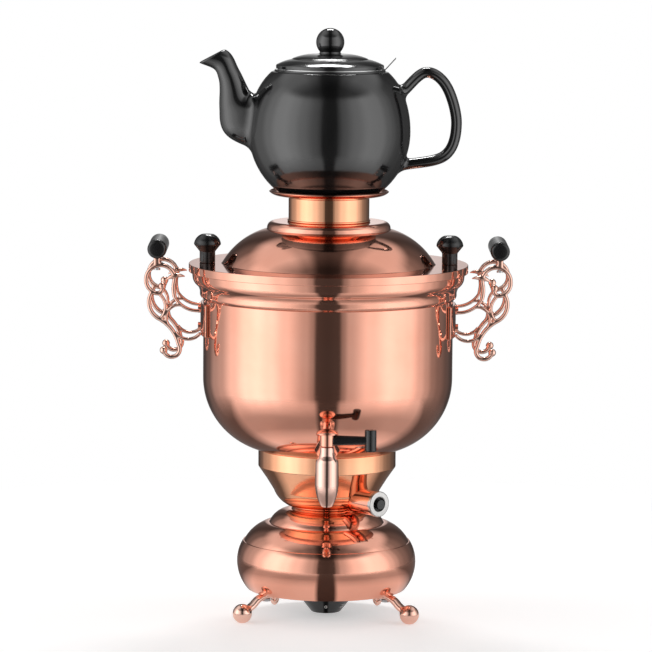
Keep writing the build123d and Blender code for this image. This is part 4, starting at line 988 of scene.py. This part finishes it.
def cover_line():
    """Half section of the teapot's lid: skirt, edge, a raised ring, crown and round knob."""
    low, edge_z = COVER_Z - COVER_SKIRT_DEPTH, COVER_Z + COVER_EDGE
    inside = COVER_SKIRT_RADIUS - COVER_SKIRT_WALL
    line = Outline(0, COVER_Z).line((inside, COVER_Z), (inside, low))
    line.line((COVER_SKIRT_RADIUS, low), (COVER_SKIRT_RADIUS, COVER_Z), (COVER_RADIUS, COVER_Z))
    line.line((COVER_RADIUS, edge_z - COVER_ROUND), (COVER_RADIUS - COVER_ROUND, edge_z))
    line.arc((RING_RADIUS, edge_z + RING_RISE), -RING_BULGE)
    line.line((RING_RADIUS - RING_STEP, edge_z + RING_RISE + RING_STEP_RISE))
    line.arc((CROWN_RADIUS, COVER_Z + CROWN_RISE), -CROWN_BULGE)
    line.line((STEM_RADIUS, COVER_Z + STEM_RISE))
    knob_z = COVER_Z + POT_KNOB_RISE
    start = math.asin(POT_KNOB_ROOT / POT_KNOB_RADIUS)
    for i in range(POT_KNOB_STEPS):
        a = start + (math.pi - start) * i / POT_KNOB_STEPS
        line.points.append(Vector((POT_KNOB_RADIUS * math.sin(a), knob_z - POT_KNOB_RADIUS * math.cos(a))))
    line.points.append(Vector((0, knob_z + POT_KNOB_RADIUS)))
    return line


bm = turned(cover_line(), around=128)
finish_mesh("pot_cover", bm, "pot_cover", porcelain, ["teapot_lid"], bevel=0.7)

# -------------------------------------------------------- finishes of the CAD nodes
finishes = {
    "base_plate": stainless, "foot_screws": steel, "foot_nuts": steel, "heater_gasket": silicone,
    "heater_plate": stainless, "heating_ring": aluminium, "thermal_cutout": moulding, "tie_rod": steel,
    "clamp_washer": steel, "tie_nut": steel, "thermostat": moulding, "thermostat_screws": steel,
    "dial_spindle": steel, "inlet_housing": moulding, "inlet_pins": nickel, "switch_sleeve": copper,
    "switch_body": moulding, "switch_bezel": nickel, "switch_button": phenolic, "tap_boss": copper,
    "tap_gasket": silicone, "tap_nut": copper, "grip_screws": steel, "handle_screws": copper,
    "handle_nuts": steel, "knob_screws": steel, "strainer": stainless,
}
for node, paint in finishes.items():
    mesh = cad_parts[node].data
    mesh.materials.clear()
    mesh.materials.append(paint)

# ---------------------------------------------------------------------------- stage
FLOOR_RADIUS = 0.75
# the last colour is painted shade, seen only in reflections, behind the object and along the gap between the
# lights
FLOOR_PALE, FLOOR_PALER, FLOOR_PAINTED_SHADE = (0.82,) * 3, (0.84,) * 3, (0.08,) * 3
FLOOR_SEEN = 0.42
# in metres from the axis: where the painted glow near the base ends, where the far painted glow comes up
# and where the floor fades out; then where the front and the gap between the lights end, behind and
# within which the floor carries painted shade in reflections
NEAR_GLOW_ENDS, FAR_GLOW_COMES, FLOOR_FADES = (0.11, 0.18), (0.27, 0.55), (0.3, 0.74)
FRONT_ENDS, GAP_ENDS = (0.0, 0.08), (0.13, 0.2)
# strengths of the painted glow near, between and far, the share of it left behind the object, and how far it
# lessens the painted shade
NEAR_GLOW, GLOW_BETWEEN, FAR_GLOW, BACK_SHARE, LIT_DARKENS = 0.4, 0.02, 0.4, 0.1, 0.75


def floor_paint():
    """Pale and matt. For polished metal it carries painted light: a painted glow near the base
    and further out, and painted shade behind the object, standing for its shadow, and along the
    gap between the lights. It fades out round the object, so that metal sees the lights
    beyond it, and it is clear from below."""
    paint = Paint("pale_floor", FLOOR_PALE, Roughness=0.9)
    paint.shader.inputs["Emission Color"].default_value = (1, 1, 1, 1)
    ray = paint.put("ShaderNodeLightPath").outputs
    place = paint.put("ShaderNodeTexCoord").outputs["Object"]
    away = paint.put("ShaderNodeVectorMath", operation="LENGTH")
    paint.links.new(place, away.inputs[0])
    away = away.outputs["Value"]
    x, y, _ = paint.axes(place)

    near = paint.spread(away, NEAR_GLOW, GLOW_BETWEEN, *NEAR_GLOW_ENDS)
    far = paint.spread(away, 0, FAR_GLOW, *FAR_GLOW_COMES)
    front = paint.spread(y, 1, BACK_SHARE, *FRONT_ENDS)
    sideways = paint.join("DIVIDE", paint.join("ABSOLUTE", x), paint.join("ABSOLUTE", y))
    lit = paint.join("MULTIPLY", front, paint.spread(sideways, 0, 1, *GAP_ENDS))
    # painted glow in the floor, emitted for reflections only
    painted_glow = paint.join("MULTIPLY", paint.join("ADD", near, far), lit)
    glossy_painted_glow = paint.join("MULTIPLY", painted_glow, ray["Is Glossy Ray"])
    seen = paint.join("MULTIPLY", ray["Is Camera Ray"], FLOOR_SEEN)
    paint.feed("Emission Strength", paint.join("ADD", seen, glossy_painted_glow))

    # painted shade in the floor for reflections only: it stands for the object's shadow behind it and for
    # the dark gap between the lights
    painted_shade = paint.join("SUBTRACT", 1.0, paint.join("MULTIPLY", lit, LIT_DARKENS))
    painted_shade_in_metal = paint.join("MULTIPLY", ray["Is Glossy Ray"], painted_shade)
    pale = paint.tint(paint.spread(paint.noise(3), 0, 1), FLOOR_PALE, FLOOR_PALER)
    paint.feed("Base Color", paint.tint(painted_shade_in_metal, pale, FLOOR_PAINTED_SHADE))

    below = paint.put("ShaderNodeNewGeometry").outputs["Backfacing"]
    gone = paint.join("MAXIMUM", paint.spread(away, 0, 1, *FLOOR_FADES), below)
    clear = paint.put("ShaderNodeBsdfTransparent").outputs[0]
    surface = paint.nodes["Material Output"].inputs["Surface"]
    paint.links.new(paint.fade(gone, paint.shader.outputs[0], clear), surface)
    return paint.material


bpy.ops.mesh.primitive_circle_add(vertices=96, radius=FLOOR_RADIUS, fill_type="NGON")
floor = bpy.context.object
floor.name = "floor"
floor.data.materials.append(floor_paint())

# ---------------------------------------------------------------------------- light
# brightness of the studio by degrees from the front, to the left and to the right
LEFT = (
    (0, 0.03), (10, 0.035), (14, 0.2), (20, 0.3), (40, 0.56), (55, 0.78), (68, 0.9), (80, 0.84),
    (98, 0.54), (116, 0.28), (128, 0.22), (142, 0.08), (160, 0.03), (172, 0.05), (177, 0.25), (180, 0.45),
)
RIGHT = (
    (0, 0.03), (10, 0.035), (14, 0.16), (20, 0.31), (40, 0.58), (59, 0.78), (70, 0.73), (80, 0.68),
    (95, 0.41), (104, 0.28), (113, 0.16), (124, 0.11), (142, 0.06), (160, 0.03), (172, 0.05),
    (177, 0.25), (180, 0.45),
)
# brightness overhead, by the share of sideways in the direction
OVERHEAD = ((0, 0.03), (0.12, 0.04), (0.28, 0.25), (0.45, 0.4), (1, 0.44))
SIDES_END, OVERHEAD_STARTS = math.sin(math.radians(32)), math.sin(math.radians(46))
STUDIO_STRENGTH = 2.0


def ramp(tree, factor, stops):
    """Smooth greys along factor, by (place, value)."""
    node = tree.put("ShaderNodeValToRGB")
    node.color_ramp.interpolation = "EASE"
    elements = node.color_ramp.elements
    while len(elements) < len(stops):
        elements.new(0.5)
    for element, (place, value) in zip(elements, stops):
        element.position = place
        element.color = (value, value, value, 1)
    tree.links.new(factor, node.inputs["Fac"])
    return node.outputs["Color"]


def studio():
    """A world of two soft side lights, a softer one overhead, and a white background."""
    world = bpy.data.worlds.new("studio")
    world.use_nodes = True
    tree = Tree(world.node_tree)
    tree.nodes.clear()
    across, along, up = tree.axes(tree.put("ShaderNodeTexCoord").outputs["Generated"])
    sideways = tree.join("ABSOLUTE", across)
    turn = tree.join("ARCTAN2", sideways, tree.join("MULTIPLY", along, -1))
    turn = tree.join("DIVIDE", turn, math.pi)
    left = ramp(tree, turn, [(a / 180, v) for a, v in LEFT])
    right = ramp(tree, turn, [(a / 180, v) for a, v in RIGHT])
    sides = tree.tint(tree.join("GREATER_THAN", across, 0), left, right)
    forward = tree.spread(along, 0.3, 1.0, -0.45, -0.05)
    overhead = tree.join("MULTIPLY", ramp(tree, sideways, OVERHEAD), forward)
    above = tree.spread(up, 0, 1, SIDES_END, OVERHEAD_STARTS, "SMOOTHSTEP")
    light = tree.put("ShaderNodeBackground")
    light.inputs["Strength"].default_value = STUDIO_STRENGTH
    tree.links.new(tree.tint(above, sides, overhead), light.inputs["Color"])
    white = tree.put("ShaderNodeBackground")
    white.inputs["Color"].default_value = (1, 1, 1, 1)
    seen = tree.put("ShaderNodeLightPath").outputs["Is Camera Ray"]
    surface = tree.put("ShaderNodeOutputWorld").inputs["Surface"]
    tree.links.new(tree.fade(seen, light.outputs[0], white.outputs[0]), surface)
    return world


def aimed(place, target, roll=0.0):
    """The turn that looks from place to target, rolled by some degrees."""
    turn = (Vector(target) - Vector(place)).to_track_quat("-Z", "Y")
    return turn @ Quaternion((0, 0, 1), math.radians(roll))


bpy.context.scene.world = studio()

LAMP_PLACE = (0, 0.9, 1.7)
lamp = bpy.data.lights.new("overhead", "AREA")
lamp.shape = "RECTANGLE"
lamp.size, lamp.size_y = 0.6, 0.22
lamp.energy = 11
lamp = bpy.data.objects.new("overhead", lamp)
lamp.location = LAMP_PLACE
lamp.rotation_euler = aimed(LAMP_PLACE, (0, 0, 0.4)).to_euler()
bpy.context.scene.collection.objects.link(lamp)

# --------------------------------------------------------------------------- camera
CAMERA_PLACE = (-0.0017, -3.2, 0.625)
CAMERA_TARGET = (-0.0017, 0, 0.2445)
view = bpy.data.cameras.new("camera")
view.lens = 213
view.sensor_width = 36
view.clip_end = 100
camera = bpy.data.objects.new("camera", view)
camera.location = CAMERA_PLACE
camera.rotation_mode = "QUATERNION"
camera.rotation_quaternion = aimed(CAMERA_PLACE, CAMERA_TARGET, roll=0.45)
bpy.context.scene.collection.objects.link(camera)
bpy.context.scene.camera = camera
bpy.context.scene.view_settings.view_transform = "Standard"
